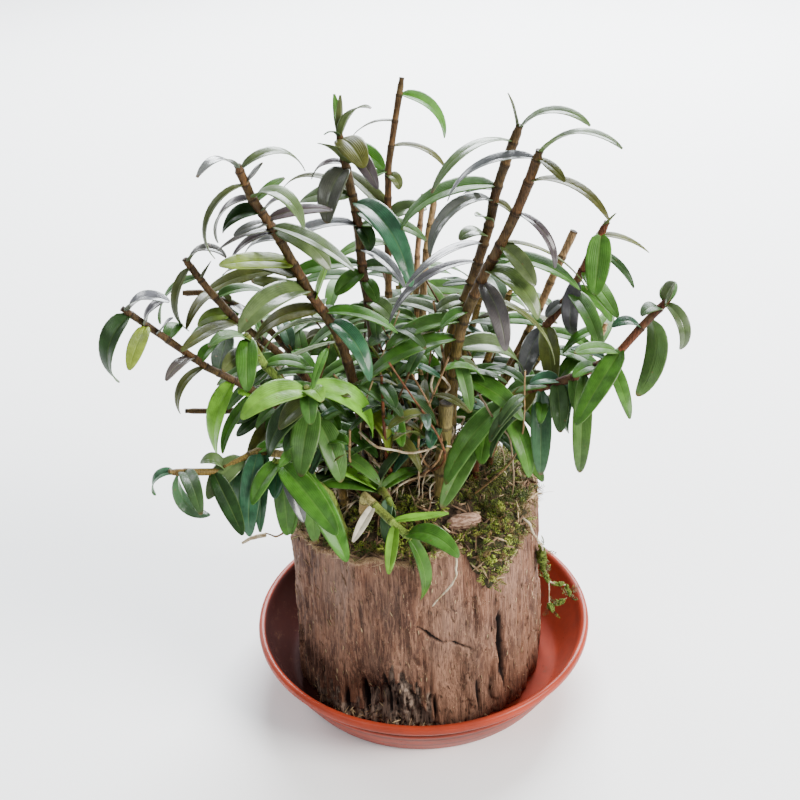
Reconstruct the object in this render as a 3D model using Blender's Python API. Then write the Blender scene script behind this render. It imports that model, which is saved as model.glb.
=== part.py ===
"""Dendrobium orchid on a hollow log in a round saucer, at its real size: metres, +Z up.

The origin is the middle of the saucer's flat foot. The photographed side faces -Y.
"""

import math
import random
from collections import namedtuple

import bmesh
import bpy
from mathutils import Vector
from mathutils.bvhtree import BVHTree

# Driving dimensions
MM = 0.001
CONTACT_GAP = 0.3 * MM

SAUCER_RIM_RADIUS = 88 * MM
SAUCER_HEIGHT = 30 * MM
SAUCER_FOOT_RADIUS = 72 * MM
SAUCER_WALL = 2.2 * MM
SAUCER_SEGMENTS = 36

LOG_CENTRE = Vector((-3 * MM, 0, 0))
LOG_FOOT_RADIUS = 64.6 * MM
LOG_TOP_RADIUS = 61.6 * MM
LOG_BASE_Z = SAUCER_WALL + CONTACT_GAP
LOG_RIM_Z = 105.5 * MM
LOG_RIM_SLANT = 8.5 * MM
LOG_RIM_HIGH_SIDE = math.radians(-35)
LOG_CAVITY_RADIUS = 52 * MM
LOG_CAVITY_FLOOR_Z = 20 * MM
LOG_COLUMNS = 44
LOG_ROWS = 9

BED_CROWN_Z = 121 * MM
BED_EDGE_DROP = 2.0 * MM
CANE_SINK = 9 * MM

CANE_SIDES = 5
INTERNODE = 21 * MM
NODE_SWELL = 1.12
WAIST = 0.94

BLADE_STATIONS = (0.0, 0.14, 0.38, 0.68, 1.0)
SHORT_BLADE_STATIONS = (0.0, 0.2, 0.55, 1.0)
LONG_BLADE = 38 * MM
BLADE_THICKNESS = 0.8 * MM
BLADE_ROOT_WIDTH = 1.8 * MM
BLADE_FULLNESS = 0.5
BLADE_CLEARANCE = 0.6 * MM

# Broken places in the bark: their direction in degrees, height as a share, spreads and depth in millimetres
LOG_SCARS = ((-113, 0.16, 11, 0.15, 5.0), (-74, 0.34, 7, 0.12, 2.4), (-58, 0.3, 4.5, 0.35, 2.0))
# Moss over the rim: the bark's columns it hangs on and how many rows down each
MOSS_DRAPES = (((-8, -7, -6, -5, -4), (1, 2, 3, 3, 2)),)
# Pieces of bark on the bed: middle, heading and size in millimetres
CHIPS = (((19, -38, 115.5), 30, (17, 9, 6)),)
HOLE_REACH = 32 * MM
WELD = 0.01 * MM
FLAT = math.radians(2.5)

CANE_CLEARANCE = 1.6 * MM
THIN_CANE = 2.25
FAN_CANES = 8
FAN_LEAVES = 6
FAN_RADIUS = 1.9
FAN_HEADINGS = (18, 162)
FAN_SHIFTS = [(side * size, inset) for inset in (0, 5, -3) for size in (0, 4, 8, 12) for side in (1, -1)]
SEED = 41

# The planting plan. A cane's foot is its place on the bed and its way goes on through the points above it,
# all in millimetres, then its radius. A leaf is its place in hundredths of the way up the cane, its heading
# in plan in degrees (0 is +X, 90 is away from the viewer, 180 is left), the rise of its root, the bend
# along it, its length and width in millimetres, and the degrees its blade is rolled to show its top.
Cane = namedtuple("Cane", "name foot way radius leaves")
Leaf = namedtuple("Leaf", "place heading rise bend length width roll")

LEAFY_CANES = (
    Cane("cane_tall_right_inner", (8, 2),
         ((11, 0, 140), (17, -3, 192), (27, -8, 226), (35, -14, 257), (38, -17, 275), (47, -22, 304)),
         2.4, (
        (65, 200, 10, 80, 53, 6, 10), (70, 225, 20, 50, 52, 6, 10), (100, 180, 85, 20, 17, 5, 0),
        (100, 335, 55, 100, 36, 6, 5), (96, 220, 25, 80, 52, 6, 5), (84, 170, 10, 75, 23, 5, 5),
        (81, 215, 25, 120, 47, 8, 15), (81, 330, -5, 50, 11, 5, 10), (59, 185, 10, 25, 13, 5, 5),
        (72, 215, 50, 90, 17, 8, 15), (75, 230, 65, 60, 13, 7, 15), (54, 195, 10, 60, 16, 8, 20),
        (49, 205, 10, 55, 19, 8, 20), (85, 184, 12, 75, 50, 11, 15), (36, 100, 10, 60, 36, 9, 15),
        (43, 200, 0, 60, 36, 9, 15))),
    Cane("cane_tall_right_outer", (17, -10),
         ((16, -9, 140), (20, -14, 198), (30, -20, 231), (41, -26, 257), (49, -30, 279), (54, -34, 297)),
         2.5, (
        (50, 155, 25, 70, 59, 8, 5), (98, 175, 10, 80, 45, 8, 10), (100, 325, 55, 90, 43, 6, 5),
        (98, 310, -5, 35, 17, 5, 0), (92, 320, 25, 80, 43, 6, 0), (84, 320, -5, 90, 32, 5, 0),
        (76, 355, -5, 60, 46, 5, 0), (67, 310, 20, 90, 38, 11, 15), (60, 345, -5, 80, 53, 5, 0),
        (44, 15, 10, 90, 42, 12, 30), (50, 150, -20, 130, 28, 9, 15), (55, 210, 10, 60, 16, 7, 15),
        (71, 350, 5, 55, 42, 10, 15), (47, 186, 16, 52, 52, 11, 15), (42, 290, -35, 40, 28, 7, 15),
        (36, 330, 0, 50, 40, 12, 15), (66, 20, 25, 60, 34, 8, 15), (52, 175, 0, 55, 40, 9, 15),
        (64, 290, -5, 80, 37, 9, 20), (75, 310, -15, 35, 25, 9, 15))),
    Cane("cane_centre", (-19, 2),
         ((-20, 1, 140), (-19, 2, 199), (-22, 4, 229), (-23, 6, 253), (-27, 8, 279), (-29, 8, 294)),
         2.3, (
        (100, 300, -5, 40, 35, 8, 10), (100, 295, 10, 50, 26, 12, 20), (92, 235, 55, 30, 22, 13, 30),
        (100, 320, 85, 0, 20, 4, 0), (100, 305, 70, 70, 34, 6, 10), (100, 235, 60, 75, 13, 3, 0),
        (91, 240, -5, 90, 30, 12, 15), (92, 165, 15, 90, 20, 5, 10), (84, 160, 40, 90, 39, 5, 0),
        (84, 170, 10, 40, 25, 12, 30), (76, 210, 25, 50, 40, 8, 15), (80, 320, -5, 70, 33, 8, 20),
        (82, 300, 15, 90, 59, 11, 20), (70, 310, 10, 60, 33, 7, 15), (65, 10, 10, 60, 19, 9, 20),
        (62, 300, -5, 60, 14, 7, 15), (64, 220, -5, 30, 18, 9, 20), (76, 305, -5, 90, 14, 8, 10),
        (56, 320, 10, 70, 16, 9, 20), (54, 185, -5, 40, 21, 9, 20), (100, 100, 80, 25, 20, 4, 15),
        (96, 300, -15, 50, 24, 10, 15), (66, 186, 12, 38, 36, 9, 15), (45, 20, 10, 50, 34, 8, 15),
        (40, 200, 10, 60, 34, 8, 15), (30, 300, 0, 70, 34, 8, 15), (16, 205, -12, 15, 32, 8, 15),
        (76, 345, 20, 70, 34, 8, 15), (62, 172, 15, 55, 38, 9, 15), (52, 190, -5, 50, 36, 9, 15))),
    Cane("cane_upper_left", (-24, -10),
         ((-25, -10, 146), (-33, -12, 200), (-46, -15, 229), (-58, -18, 259), (-68, -20, 279),
          (-71, -22, 292)),
         2.3, (
        (100, 240, 55, 90, 33, 5, 0), (99, 40, 30, 100, 40, 6, 5), (95, 5, 50, 5, 12, 5, 10),
        (95, 210, -5, 120, 42, 6, 0), (91, 170, -5, 100, 31, 8, 5), (87, 175, 10, 80, 22, 9, 25),
        (84, 205, 10, 40, 17, 6, 10), (82, 205, 10, 40, 27, 6, 5), (81, 205, 10, 60, 23, 6, 5),
        (79, 170, 10, 70, 19, 6, 5), (83, 320, 5, 35, 48, 9, 15), (72, 215, 25, 20, 38, 11, 30),
        (68, 155, 25, 70, 44, 12, 30), (64, 230, 25, 60, 47, 13, 30), (54, 175, 10, 85, 42, 6, 0),
        (54, 305, 10, 90, 39, 10, 20), (48, 185, -5, 40, 43, 4, 0), (91, 320, 45, 130, 38, 9, 15),
        (87, 335, 55, 50, 17, 6, 10), (61, 5, 70, 0, 20, 9, 0), (90, 40, 35, 30, 18, 5, 15),
        (36, 330, -10, 30, 30, 8, 15), (57, 350, 10, 55, 36, 9, 15), (30, 195, -5, 40, 34, 8, 15),
        (58, 180, 5, 65, 38, 10, 30), (63, 190, 30, 20, 28, 8, 20), (29, 310, 10, 110, 32, 10, 10),
        (85, 5, 20, 35, 29, 7, 30), (82, 335, 0, 65, 32, 10, 30))),
    Cane("cane_left", (-33, -1),
         ((-36, -2, 143), (-54, -5, 183), (-79, -8, 210), (-93, -10, 232), (-100, -12, 246)),
         1.9, (
        (100, 350, 70, 130, 23, 6, 0), (97, 220, -35, 100, 35, 7, 0), (92, 335, 60, 5, 12, 4, 0),
        (66, 175, 80, 10, 17, 8, 20), (78, 175, 10, 60, 18, 8, 25), (74, 235, 25, 40, 41, 7, 20),
        (93, 200, -10, 85, 34, 8, 15), (85, 20, 20, 60, 26, 7, 15), (75, 185, 25, 90, 36, 9, 15),
        (58, 190, -5, 30, 34, 9, 15), (42, 190, 0, 60, 36, 9, 15))),
    Cane("cane_far_left", (-46, -8),
         ((-50, -13, 149), (-74, -20, 181), (-95, -24, 198), (-116, -28, 221), (-127, -30, 232)),
         1.8, (
        (100, 340, 55, 80, 25, 9, 10), (92, 5, 85, 80, 16, 8, 15), (88, 340, 60, 30, 12, 7, 10),
        (97, 220, -20, 110, 37, 12, 20), (92, 260, -5, 25, 28, 8, 10), (76, 240, 25, 60, 22, 6, 5),
        (72, 210, -5, 105, 29, 6, 5), (63, 225, -35, 80, 44, 12, 25), (53, 190, 40, 40, 13, 6, 20),
        (85, 60, 45, 60, 16, 8, 15), (74, 50, 45, 50, 14, 7, 15), (55, 215, -20, 60, 34, 7, 15),
        (68, 85, 20, 20, 30, 10, 20))),
    Cane("cane_left_back", (-31, 16),
         ((-34, 16, 138), (-64, 15, 189), (-88, 12, 215), (-107, 10, 219)),
         1.7, (
        (84, 240, 60, 105, 45, 7, 5), (84, 315, -15, 0, 13, 7, 0), (86, 295, -15, 130, 15, 10, 25),
        (62, 60, 20, 60, 32, 8, 15), (93, 5, 30, 35, 36, 9, 15), (43, 60, 45, 20, 31, 10, 30))),
    Cane("cane_left_low", (-46, 6),
         ((-50, 5, 140), (-71, 0, 158), (-98, -2, 161), (-111, -4, 163)),
         1.6, (
        (68, 190, -5, 30, 14, 8, 20), (66, 235, -5, 0, 18, 8, 20), (66, 100, 10, 60, 34, 8, 15),
        (48, 130, 20, 60, 34, 8, 15), (83, 20, 45, 20, 33, 7, 30), (58, 240, 5, 80, 38, 10, 10))),
    Cane("cane_low_left_pale", (-43, -24),
         ((-50, -28, 143), (-72, -36, 159), (-95, -46, 154), (-113, -52, 160)),
         1.9, (
        (99, 185, 10, 130, 19, 7, 10), (96, 160, -65, 125, 31, 9, 20), (83, 295, -15, 10, 38, 9, 20),
        (70, 220, -5, 50, 26, 12, 30), (64, 260, -10, 80, 43, 10, 20), (61, 265, -20, 40, 39, 7, 20),
        (79, 160, 55, 120, 13, 8, 20), (78, 100, 20, 50, 20, 9, 15), (50, 262, -50, 35, 38, 9, 15),
        (42, 280, -45, 40, 38, 10, 15), (66, 20, 20, 60, 28, 7, 15), (94, 290, 30, 80, 34, 8, 15),
        (68, 230, -15, 110, 29, 9, 30))),
    Cane("shoot_low_front_left", (-35, -35),
         ((-42, -37, 133), (-56, -41, 151), (-66, -46, 160)),
         1.9, (
        (97, 255, -45, 10, 17, 8, 20), (92, 300, -20, 0, 33, 13, 20), (96, 305, -20, 15, 49, 12, 25),
        (94, 295, -40, 20, 29, 8, 25), (100, 225, -20, 40, 24, 9, 20), (100, 262, -40, 45, 40, 10, 15),
        (80, 312, -40, 20, 48, 12, 15))),
    Cane("shoot_bright_front", (-35, -18),
         ((-40, -22, 142), (-46, -30, 171), (-49, -38, 193)),
         2.1, (
        (99, 215, 30, 70, 37, 13, 30), (100, 305, 45, 100, 14, 9, 20), (98, 10, -5, 90, 45, 14, 25),
        (88, 210, -5, 80, 34, 14, 20), (90, 215, -20, 35, 20, 12, 20), (80, 230, -10, 30, 24, 10, 20),
        (57, 240, -30, 10, 20, 4, 10), (96, 275, 5, 80, 18, 8, 15), (85, 240, -40, 40, 34, 14, 15),
        (75, 300, -30, 45, 32, 12, 15), (62, 200, -10, 50, 34, 8, 15), (50, 330, 0, 50, 30, 8, 15))),
    Cane("shoot_left", (-33, -9),
         ((-37, -11, 143), (-54, -15, 172), (-70, -21, 198), (-75, -25, 214)),
         2.0, (
        (98, 270, -5, 60, 28, 10, 15), (96, 220, 55, 90, 25, 9, 20), (88, 235, 55, 80, 27, 9, 20),
        (83, 10, 25, 80, 24, 8, 15), (75, 170, 25, 70, 15, 9, 20), (70, 340, 5, 60, 34, 8, 15),
        (45, 340, 0, 60, 32, 8, 15))),
    Cane("cane_tall_back", (-13, 36),
         ((-13, 38, 125), (-11, 45, 193), (-8, 48, 263), (-4, 50, 284), (0, 52, 304)),
         1.8, (
        (96, 355, -5, 90, 33, 9, 15), (90, 180, 10, 60, 22, 4, 0), (84, 355, 10, 75, 30, 5, 0),
        (66, 0, 40, 65, 21, 10, 25), (77, 310, 20, 120, 11, 6, 10), (78, 175, -5, 50, 12, 7, 10),
        (60, 200, 20, 60, 30, 8, 15), (68, 150, 45, 20, 31, 10, 15), (22, 300, 5, 65, 36, 10, 10))),
    Cane("cane_back_tan", (3, 28),
         ((3, 30, 127), (6, 32, 199), (9, 34, 229), (13, 35, 250)),
         1.9, (
        (55, 180, 10, 60, 30, 8, 15), (36, 190, 10, 60, 32, 8, 15), (44, 290, -5, 95, 36, 10, 20),
        (29, 280, 10, 65, 31, 8, 5))),
    Cane("cane_back_thin", (8, 43),
         ((7, 43, 120), (3, 42, 194), (6, 44, 235), (8, 45, 249)),
         1.6, (
        (60, 80, 20, 60, 32, 8, 15), (50, 250, 20, 60, 30, 8, 15), (42, 90, 10, 60, 34, 8, 15),
        (68, 10, -5, 20, 35, 9, 30))),
    Cane("cane_right", (27, 14),
         ((29, 15, 133), (57, 18, 179), (74, 18, 201), (84, 18, 224), (92, 16, 243)),
         2.1, (
        (100, 305, 55, 5, 11, 3, 0), (96, 255, -35, 30, 31, 12, 20), (95, 0, -5, 40, 26, 6, 10),
        (90, 320, -5, 60, 28, 5, 10), (79, 235, -45, 90, 33, 9, 20), (82, 295, -10, 25, 33, 9, 20),
        (59, 235, -10, 70, 29, 10, 20), (70, 240, -5, 50, 12, 6, 10), (75, 330, -20, 60, 26, 9, 15),
        (60, 160, 20, 60, 30, 8, 15), (45, 280, 0, 60, 36, 9, 15), (57, 350, 10, 60, 34, 8, 15),
        (40, 170, 10, 60, 36, 9, 15), (74, 290, 0, 65, 38, 10, 20), (60, 270, -15, 35, 35, 10, 10),
        (29, 195, -15, 20, 24, 10, 20))),
    Cane("cane_far_right", (27, -6),
         ((30, -8, 143), (42, -12, 167), (68, -14, 175), (91, -16, 188), (102, -16, 202), (116, -16, 218)),
         2.1, (
        (98, 10, 85, 40, 11, 10, 20), (99, 305, -5, 120, 27, 7, 5), (96, 215, 40, 90, 13, 8, 15),
        (92, 45, -50, 110, 46, 12, 10), (88, 190, 55, 100, 16, 6, 10), (80, 230, -25, 10, 45, 12, 15),
        (78, 205, 35, 45, 26, 8, 20), (74, 195, 40, 30, 21, 7, 20), (70, 215, 25, 60, 15, 8, 20),
        (62, 230, -50, 80, 32, 9, 10), (62, 270, -20, 35, 18, 6, 10), (66, 260, -20, 95, 53, 9, 10),
        (74, 285, -15, 40, 32, 8, 10), (55, 175, 10, 50, 22, 9, 20), (50, 215, -5, 10, 24, 12, 20),
        (52, 265, -45, 35, 42, 10, 10), (58, 170, 20, 70, 15, 8, 15), (42, 205, -5, 50, 53, 13, 15),
        (57, 270, -20, 55, 25, 9, 10), (100, 60, 60, 20, 13, 8, 15), (38, 300, -20, 65, 40, 10, 15),
        (34, 250, -15, 50, 28, 12, 15), (28, 212, -22, 15, 48, 11, 15))),
    Cane("cane_right_thin", (36, 6),
         ((39, 6, 138), (62, 9, 150), (77, 12, 159), (87, 12, 177), (93, 12, 192)),
         1.7, (
        (100, 180, 20, 60, 24, 7, 15), (65, 60, 20, 60, 30, 8, 15), (40, 120, 20, 60, 30, 8, 15),
        (88, 215, 0, 60, 30, 8, 15), (29, 305, 0, 50, 37, 9, 30), (87, 65, 20, 20, 33, 9, 30))),
    Cane("shoot_over_rim", (-26, -27),
         ((-28, -34, 130), (-25, -43, 135), (-14, -54, 129), (-5, -62, 124)),
         2.0, (
        (81, 355, 10, 0, 27, 5, 5), (85, 260, -20, 15, 25, 6, 15), (98, 320, 40, 85, 33, 10, 25),
        (100, 320, -50, 75, 38, 8, 20), (64, 240, -15, 10, 22, 5, 20))),
    Cane("shoot_front_dark", (-20, -17),
         ((-20, -27, 133), (-17, -37, 134), (-13, -46, 131)),
         1.8, (
        (60, 185, 45, 25, 30, 9, 25), (58, 200, 25, 60, 30, 11, 25), (58, 0, 85, 45, 24, 10, 20),
        (90, 260, 10, 85, 12, 6, 10), (100, 235, -30, 50, 24, 8, 10), (60, 40, 20, 50, 28, 7, 15))),
)

# Old canes that have dropped their leaves: the dry stick at the right and the short back bulbs.
BARE_CANES = (
    Cane("dry_stick", (33, 27), ((34, 27, 130), (58, 28, 182), (73, 30, 219), (79, 30, 233)), 1.9, ()),
    Cane("back_bulb_right", (10, -24), ((11, -24, 135), (13, -25, 160), (14, -25, 174)), 3.2, ()),
    Cane("back_bulb_middle", (-7, -13), ((-7, -13, 132), (-5, -14, 150), (-5, -15, 158)), 2.8, ()),
    Cane("back_bulb_left", (-24, 24), ((-25, 25, 132), (-29, 27, 152), (-31, 28, 162)), 3.4, ()),
)


# Meshes

def loft(rings, start=None, end=None):
    """Join rings of as many points each into one closed body; an end closes round its middle if given."""
    count = len(rings[0])
    vertices = [point for ring in rings for point in ring]
    faces = []
    for row in range(len(rings) - 1):
        for column in range(count):
            after = (column + 1) % count
            a, b = row * count + column, row * count + after
            d, c = a + count, b + count
            faces += [(a, b, c), (a, c, d)]
    for middle, first in ((start, 0), (end, (len(rings) - 1) * count)):
        if middle is None:
            closing = [(first, first + column, first + column + 1) for column in range(1, count - 1)]
        else:
            vertices.append(middle)
            apex = len(vertices) - 1
            closing = [(apex, first + column, first + (column + 1) % count) for column in range(count)]
        faces += [face[::-1] for face in closing] if first == 0 else closing
    return vertices, faces


def slab(near, far):
    """Join two like grids of points, one in front of the other, into a closed body."""
    columns, rows = len(near), len(near[0])
    vertices = [point for grid in (near, far) for column in grid for point in column]
    far_start = columns * rows
    faces = []
    for column in range(columns - 1):
        for row in range(rows - 1):
            a = column * rows + row
            for c, d, e in ((a, a + rows, a + rows + 1), (a, a + rows + 1, a + 1)):
                faces += [(e, d, c), (c + far_start, d + far_start, e + far_start)]
    border = [column * rows for column in range(columns)]
    border += [(columns - 1) * rows + row for row in range(1, rows)]
    border += [column * rows + rows - 1 for column in range(columns - 2, -1, -1)]
    border += list(range(rows - 2, 0, -1))
    for start, stop in zip(border, border[1:] + border[:1]):
        faces += [(start, stop, stop + far_start), (start, stop + far_start, start + far_start)]
    return vertices, faces


def solid(name, body):
    """Add a closed body to the scene, welded and with its faces outwards."""
    vertices, faces = body
    mesh = bpy.data.meshes.new(name)
    mesh.from_pydata([tuple(vertex) for vertex in vertices], [], faces)
    work = bmesh.new()
    work.from_mesh(mesh)
    bmesh.ops.remove_doubles(work, verts=work.verts, dist=WELD)
    bmesh.ops.recalc_face_normals(work, faces=work.faces)
    work.to_mesh(mesh)
    work.free()
    part = bpy.data.objects.new(name, mesh)
    bpy.context.scene.collection.objects.link(part)
    return part


def combine(part, bodies, operation):
    """Unite the part with all the bodies, or cut them all out of it, in one step."""
    group = bpy.data.collections.new("tools")
    bpy.context.scene.collection.children.link(group)
    for number, body in enumerate(bodies):
        tool = solid(f"tool_{number}", body)
        bpy.context.scene.collection.objects.unlink(tool)
        group.objects.link(tool)
    modifier = part.modifiers.new("combine", "BOOLEAN")
    modifier.operation = operation
    modifier.operand_type = "COLLECTION"
    modifier.collection = group
    modifier.solver = "EXACT"
    bpy.context.view_layer.update()
    evaluated = part.evaluated_get(bpy.context.evaluated_depsgraph_get())
    result = bpy.data.meshes.new_from_object(evaluated)
    part.modifiers.remove(modifier)
    part.data = result
    for tool in list(group.objects):
        bpy.data.objects.remove(tool)
    bpy.data.collections.remove(group)


def polar(centre, radius, angle, z):
    return Vector((centre.x + radius * math.cos(angle), centre.y + radius * math.sin(angle), z))


# Saucer

def saucer():
    """The turned saucer: foot, flaring wall with a ridge under the lip, lip and floor."""
    foot, rim, high = SAUCER_FOOT_RADIUS, SAUCER_RIM_RADIUS, SAUCER_HEIGHT
    outside = [(foot - 2 * MM, 0), (foot, 0.8 * MM), (foot + 7.5 * MM, 13 * MM), (foot + 10 * MM, 20 * MM),
               (foot + 11.2 * MM, 20.8 * MM), (foot + 11.6 * MM, 24 * MM),
               (rim - 0.4 * MM, 25.4 * MM), (rim, high - 1 * MM), (rim - 1 * MM, high)]
    inside = [(rim - 2.6 * MM, high - 0.2 * MM), (rim - 4.4 * MM, high - 2 * MM),
              (foot + 10.4 * MM, 22 * MM), (foot + 6.4 * MM, 13 * MM),
              (foot + 0.6 * MM, 4 * MM), (foot - 2 * MM, SAUCER_WALL)]
    turns = [math.tau * step / SAUCER_SEGMENTS for step in range(SAUCER_SEGMENTS)]
    middle = Vector((0, 0, 0))
    rings = [[polar(middle, radius, turn, z) for turn in turns] for radius, z in outside + inside]
    return loft(rings, middle, Vector((0, 0, SAUCER_WALL)))


# Log

def log_rim(angle):
    """Height of the torn rim, higher at the front right."""
    torn = 0.9 * math.sin(9 * angle + 0.4) + 0.7 * math.sin(14 * angle + 2.0)
    return LOG_RIM_Z + LOG_RIM_SLANT * math.cos(angle - LOG_RIM_HIGH_SIDE) + torn * MM


def log_radius(angle, share):
    """Radius of the furrowed bark at a share of the log's height."""
    furrow = 0.75 * math.sin(17 * angle + 1.3 * math.sin(5 * share))
    furrow += 0.55 * math.sin(11 * angle + 2.1 - 3 * share)
    lobes = 1.1 * math.cos(2 * angle + 0.6) + 0.7 * math.cos(3 * angle - 1.1)
    broken = 0
    for centre, height, spread, rise, depth in LOG_SCARS:
        apart = math.remainder(angle - math.radians(centre), math.tau) / math.radians(spread)
        broken += depth * math.exp(-apart ** 2 - ((share - height) / rise) ** 2)
    plain = LOG_FOOT_RADIUS + (LOG_TOP_RADIUS - LOG_FOOT_RADIUS) * share
    return plain + ((furrow + lobes) * (0.55 + 0.45 * share) - broken) * MM


def log_point(column, row, lift=0):
    """A point of the bark's grid, lifted off it on request."""
    angle = math.tau * column / LOG_COLUMNS
    share = row / LOG_ROWS
    z = LOG_BASE_Z + (log_rim(angle) - LOG_BASE_Z) * share
    return polar(LOG_CENTRE, log_radius(angle, share) + lift, angle, z)


def hollow_log():
    """The bark outside, the torn rim, and the blind hollow that holds the bed."""
    columns = range(LOG_COLUMNS)
    rings = [[log_point(column, row) for column in columns] for row in range(LOG_ROWS + 1)]
    for radius, lift in ((LOG_TOP_RADIUS - 4.5 * MM, 0.8), (LOG_CAVITY_RADIUS, -0.6)):
        ring = []
        for column in columns:
            angle = math.tau * column / LOG_COLUMNS
            ring.append(polar(LOG_CENTRE, radius, angle, log_rim(angle) + lift * math.cos(13 * angle) * MM))
        rings.append(ring)
    floor = [polar(LOG_CENTRE, LOG_CAVITY_RADIUS, math.tau * column / LOG_COLUMNS, LOG_CAVITY_FLOOR_Z)
             for column in columns]
    rings.append(floor)
    centre = LOG_CENTRE
    return loft(rings, centre + Vector((0, 0, LOG_BASE_Z)), centre + Vector((0, 0, LOG_CAVITY_FLOOR_Z)))


# Growing bed

def bed_height(x, y):
    """Height of the mounded bed over a place in plan."""
    away = Vector((x, y, 0)) - LOG_CENTRE
    share = min(1, away.length / (LOG_CAVITY_RADIUS - CONTACT_GAP))
    angle = math.atan2(away.y, away.x)
    edge = log_rim(angle) - BED_EDGE_DROP
    lumps = math.sin(4 * angle + 40 * share) + 0.8 * math.sin(7 * angle - 25 * share + 1)
    return edge + (BED_CROWN_Z - edge) * (1 - share ** 2.6) + lumps * 1.1 * MM * share * (1 - share) * 4


def growing_bed():
    """The mound of bark mix that fills the hollow."""
    edge_radius = LOG_CAVITY_RADIUS - CONTACT_GAP
    turns = [math.tau * column / LOG_COLUMNS for column in range(LOG_COLUMNS)]
    bottom = LOG_CAVITY_FLOOR_Z + CONTACT_GAP
    rings = [[polar(LOG_CENTRE, edge_radius, turn, bottom) for turn in turns]]
    for share in (1.0, 0.86, 0.68, 0.46, 0.22):
        ring = []
        for turn in turns:
            point = polar(LOG_CENTRE, edge_radius * share, turn, 0)
            point.z = bed_height(point.x, point.y)
            ring.append(point)
        rings.append(ring)
    middle = LOG_CENTRE.copy()
    middle.z = bed_height(middle.x, middle.y)
    return loft(rings, LOG_CENTRE + Vector((0, 0, bottom)), middle)


def moss_drape(columns, rows_down):
    """Moss that grows from the bed over the rim and hangs down the bark, closed along its ends."""
    near, far = [], []
    for column, down in zip(columns, rows_down):
        angle = math.tau * column / LOG_COLUMNS
        rim = log_rim(angle)
        rows = range(LOG_ROWS - down, LOG_ROWS + 1)
        low = [log_point(column, row, 0.6 * MM) for row in rows]
        high = [log_point(column, row, (2 + 0.9 * number) * MM) for number, row in enumerate(rows)]
        low[-1].z = rim + 1.6 * MM
        high[-1].z = rim + 3.6 * MM
        short = max(rows_down) - down
        near.append([low[0]] * short + low + [polar(LOG_CENTRE, 51 * MM, angle, rim + 1.8 * MM),
                                              polar(LOG_CENTRE, 50 * MM, angle, rim - 9 * MM)])
        far.append([high[0]] * short + high + [polar(LOG_CENTRE, 49 * MM, angle, rim + 5 * MM),
                                               polar(LOG_CENTRE, 42 * MM, angle, rim - 9 * MM)])
    return slab(near, far)


def bark_chip(centre, heading, size, grow=0):
    """A broken piece of bark: a box with uneven corners, grown by an amount where it is a hole's cutter."""
    dice = random.Random(centre[0])
    along = Vector((math.cos(math.radians(heading)), math.sin(math.radians(heading)), 0))
    across = Vector((-along.y, along.x, 0))
    rings = []
    for end in (-1, -0.3, 0.5, 1):
        middle = Vector(centre) * MM + along * end * (size[0] / 2 * MM + grow)
        ring = []
        for side, level in ((-1, -1), (1, -1), (1, 1), (-1, 1)):
            wide = (size[1] / 2 * dice.uniform(0.75, 1.0) * (1 - 0.2 * end ** 2)) * MM + grow
            high = (size[2] / 2 * dice.uniform(0.7, 1.0)) * MM + grow
            ring.append(middle + across * side * wide + Vector((0, 0, level * high)))
        rings.append(ring)
    return loft(rings)


# Canes

class Way:
    """A smooth path through points, measured along its length."""

    def __init__(self, points, steps=10):
        ends = [points[0] * 2 - points[1]] + points + [points[-1] * 2 - points[-2]]
        self.points = [points[0]]
        for before, start, stop, after in zip(ends, ends[1:], ends[2:], ends[3:]):
            for step in range(1, steps + 1):
                t = step / steps
                self.points.append(0.5 * (start * 2 + (stop - before) * t
                                          + (before * 2 - start * 5 + stop * 4 - after) * t ** 2
                                          + (start * 3 - before - stop * 3 + after) * t ** 3))
        self.marks = [0]
        for start, stop in zip(self.points, self.points[1:]):
            self.marks.append(self.marks[-1] + (stop - start).length)
        self.length = self.marks[-1]

    def segment(self, distance):
        for number in range(len(self.marks) - 2):
            if distance <= self.marks[number + 1]:
                return number
        return len(self.marks) - 2

    def direction(self, distance):
        number = self.segment(distance)
        return (self.points[number + 1] - self.points[number]).normalized()

    def at(self, distance):
        number = self.segment(distance)
        return self.points[number] + self.direction(distance) * (distance - self.marks[number])


def tube(way, stops, sides=CANE_SIDES):
    """A tube with flat sides along a way; a stop is a distance along it and the radius there."""
    side = way.direction(0).orthogonal().normalized()
    rings = []
    for distance, radius in stops:
        heading = way.direction(min(max(distance, 0), way.length))
        side = (side - heading * side.dot(heading)).normalized()
        other = heading.cross(side)
        middle = way.at(distance)
        turns = [math.tau * step / sides for step in range(sides)]
        rings.append([middle + (side * math.cos(turn) + other * math.sin(turn)) * radius for turn in turns])
    return loft(rings)


def cane_way(cane):
    x, y = cane.foot
    foot = Vector((x * MM, y * MM, bed_height(x * MM, y * MM) - CANE_SINK))
    return Way([foot] + [Vector(point) * MM for point in cane.way])


def cane_stops(cane, way):
    """The swollen nodes and the waists between them, up to the blunt tip."""
    stops = [(0, cane.radius)]
    distance = INTERNODE * 0.75
    thin = cane.radius < THIN_CANE
    node = True
    while distance < way.length - INTERNODE * 0.4:
        stops.append((distance, cane.radius * (1 if thin else NODE_SWELL if node else WAIST)))
        distance += INTERNODE / (1 if thin else 2)
        node = not node
    stops += [(way.length - 2 * MM, cane.radius * 0.9), (way.length, cane.radius * 0.55)]
    return [(distance, radius * MM) for distance, radius in stops]


def axis_point(way, stops, distance):
    """The middle of the cane's tube at a distance: on the straight line between the rings about it."""
    for (low, _), (high, _) in zip(stops, stops[1:]):
        if distance <= high:
            return way.at(low).lerp(way.at(high), (distance - low) / (high - low))
    return way.at(distance)


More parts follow.
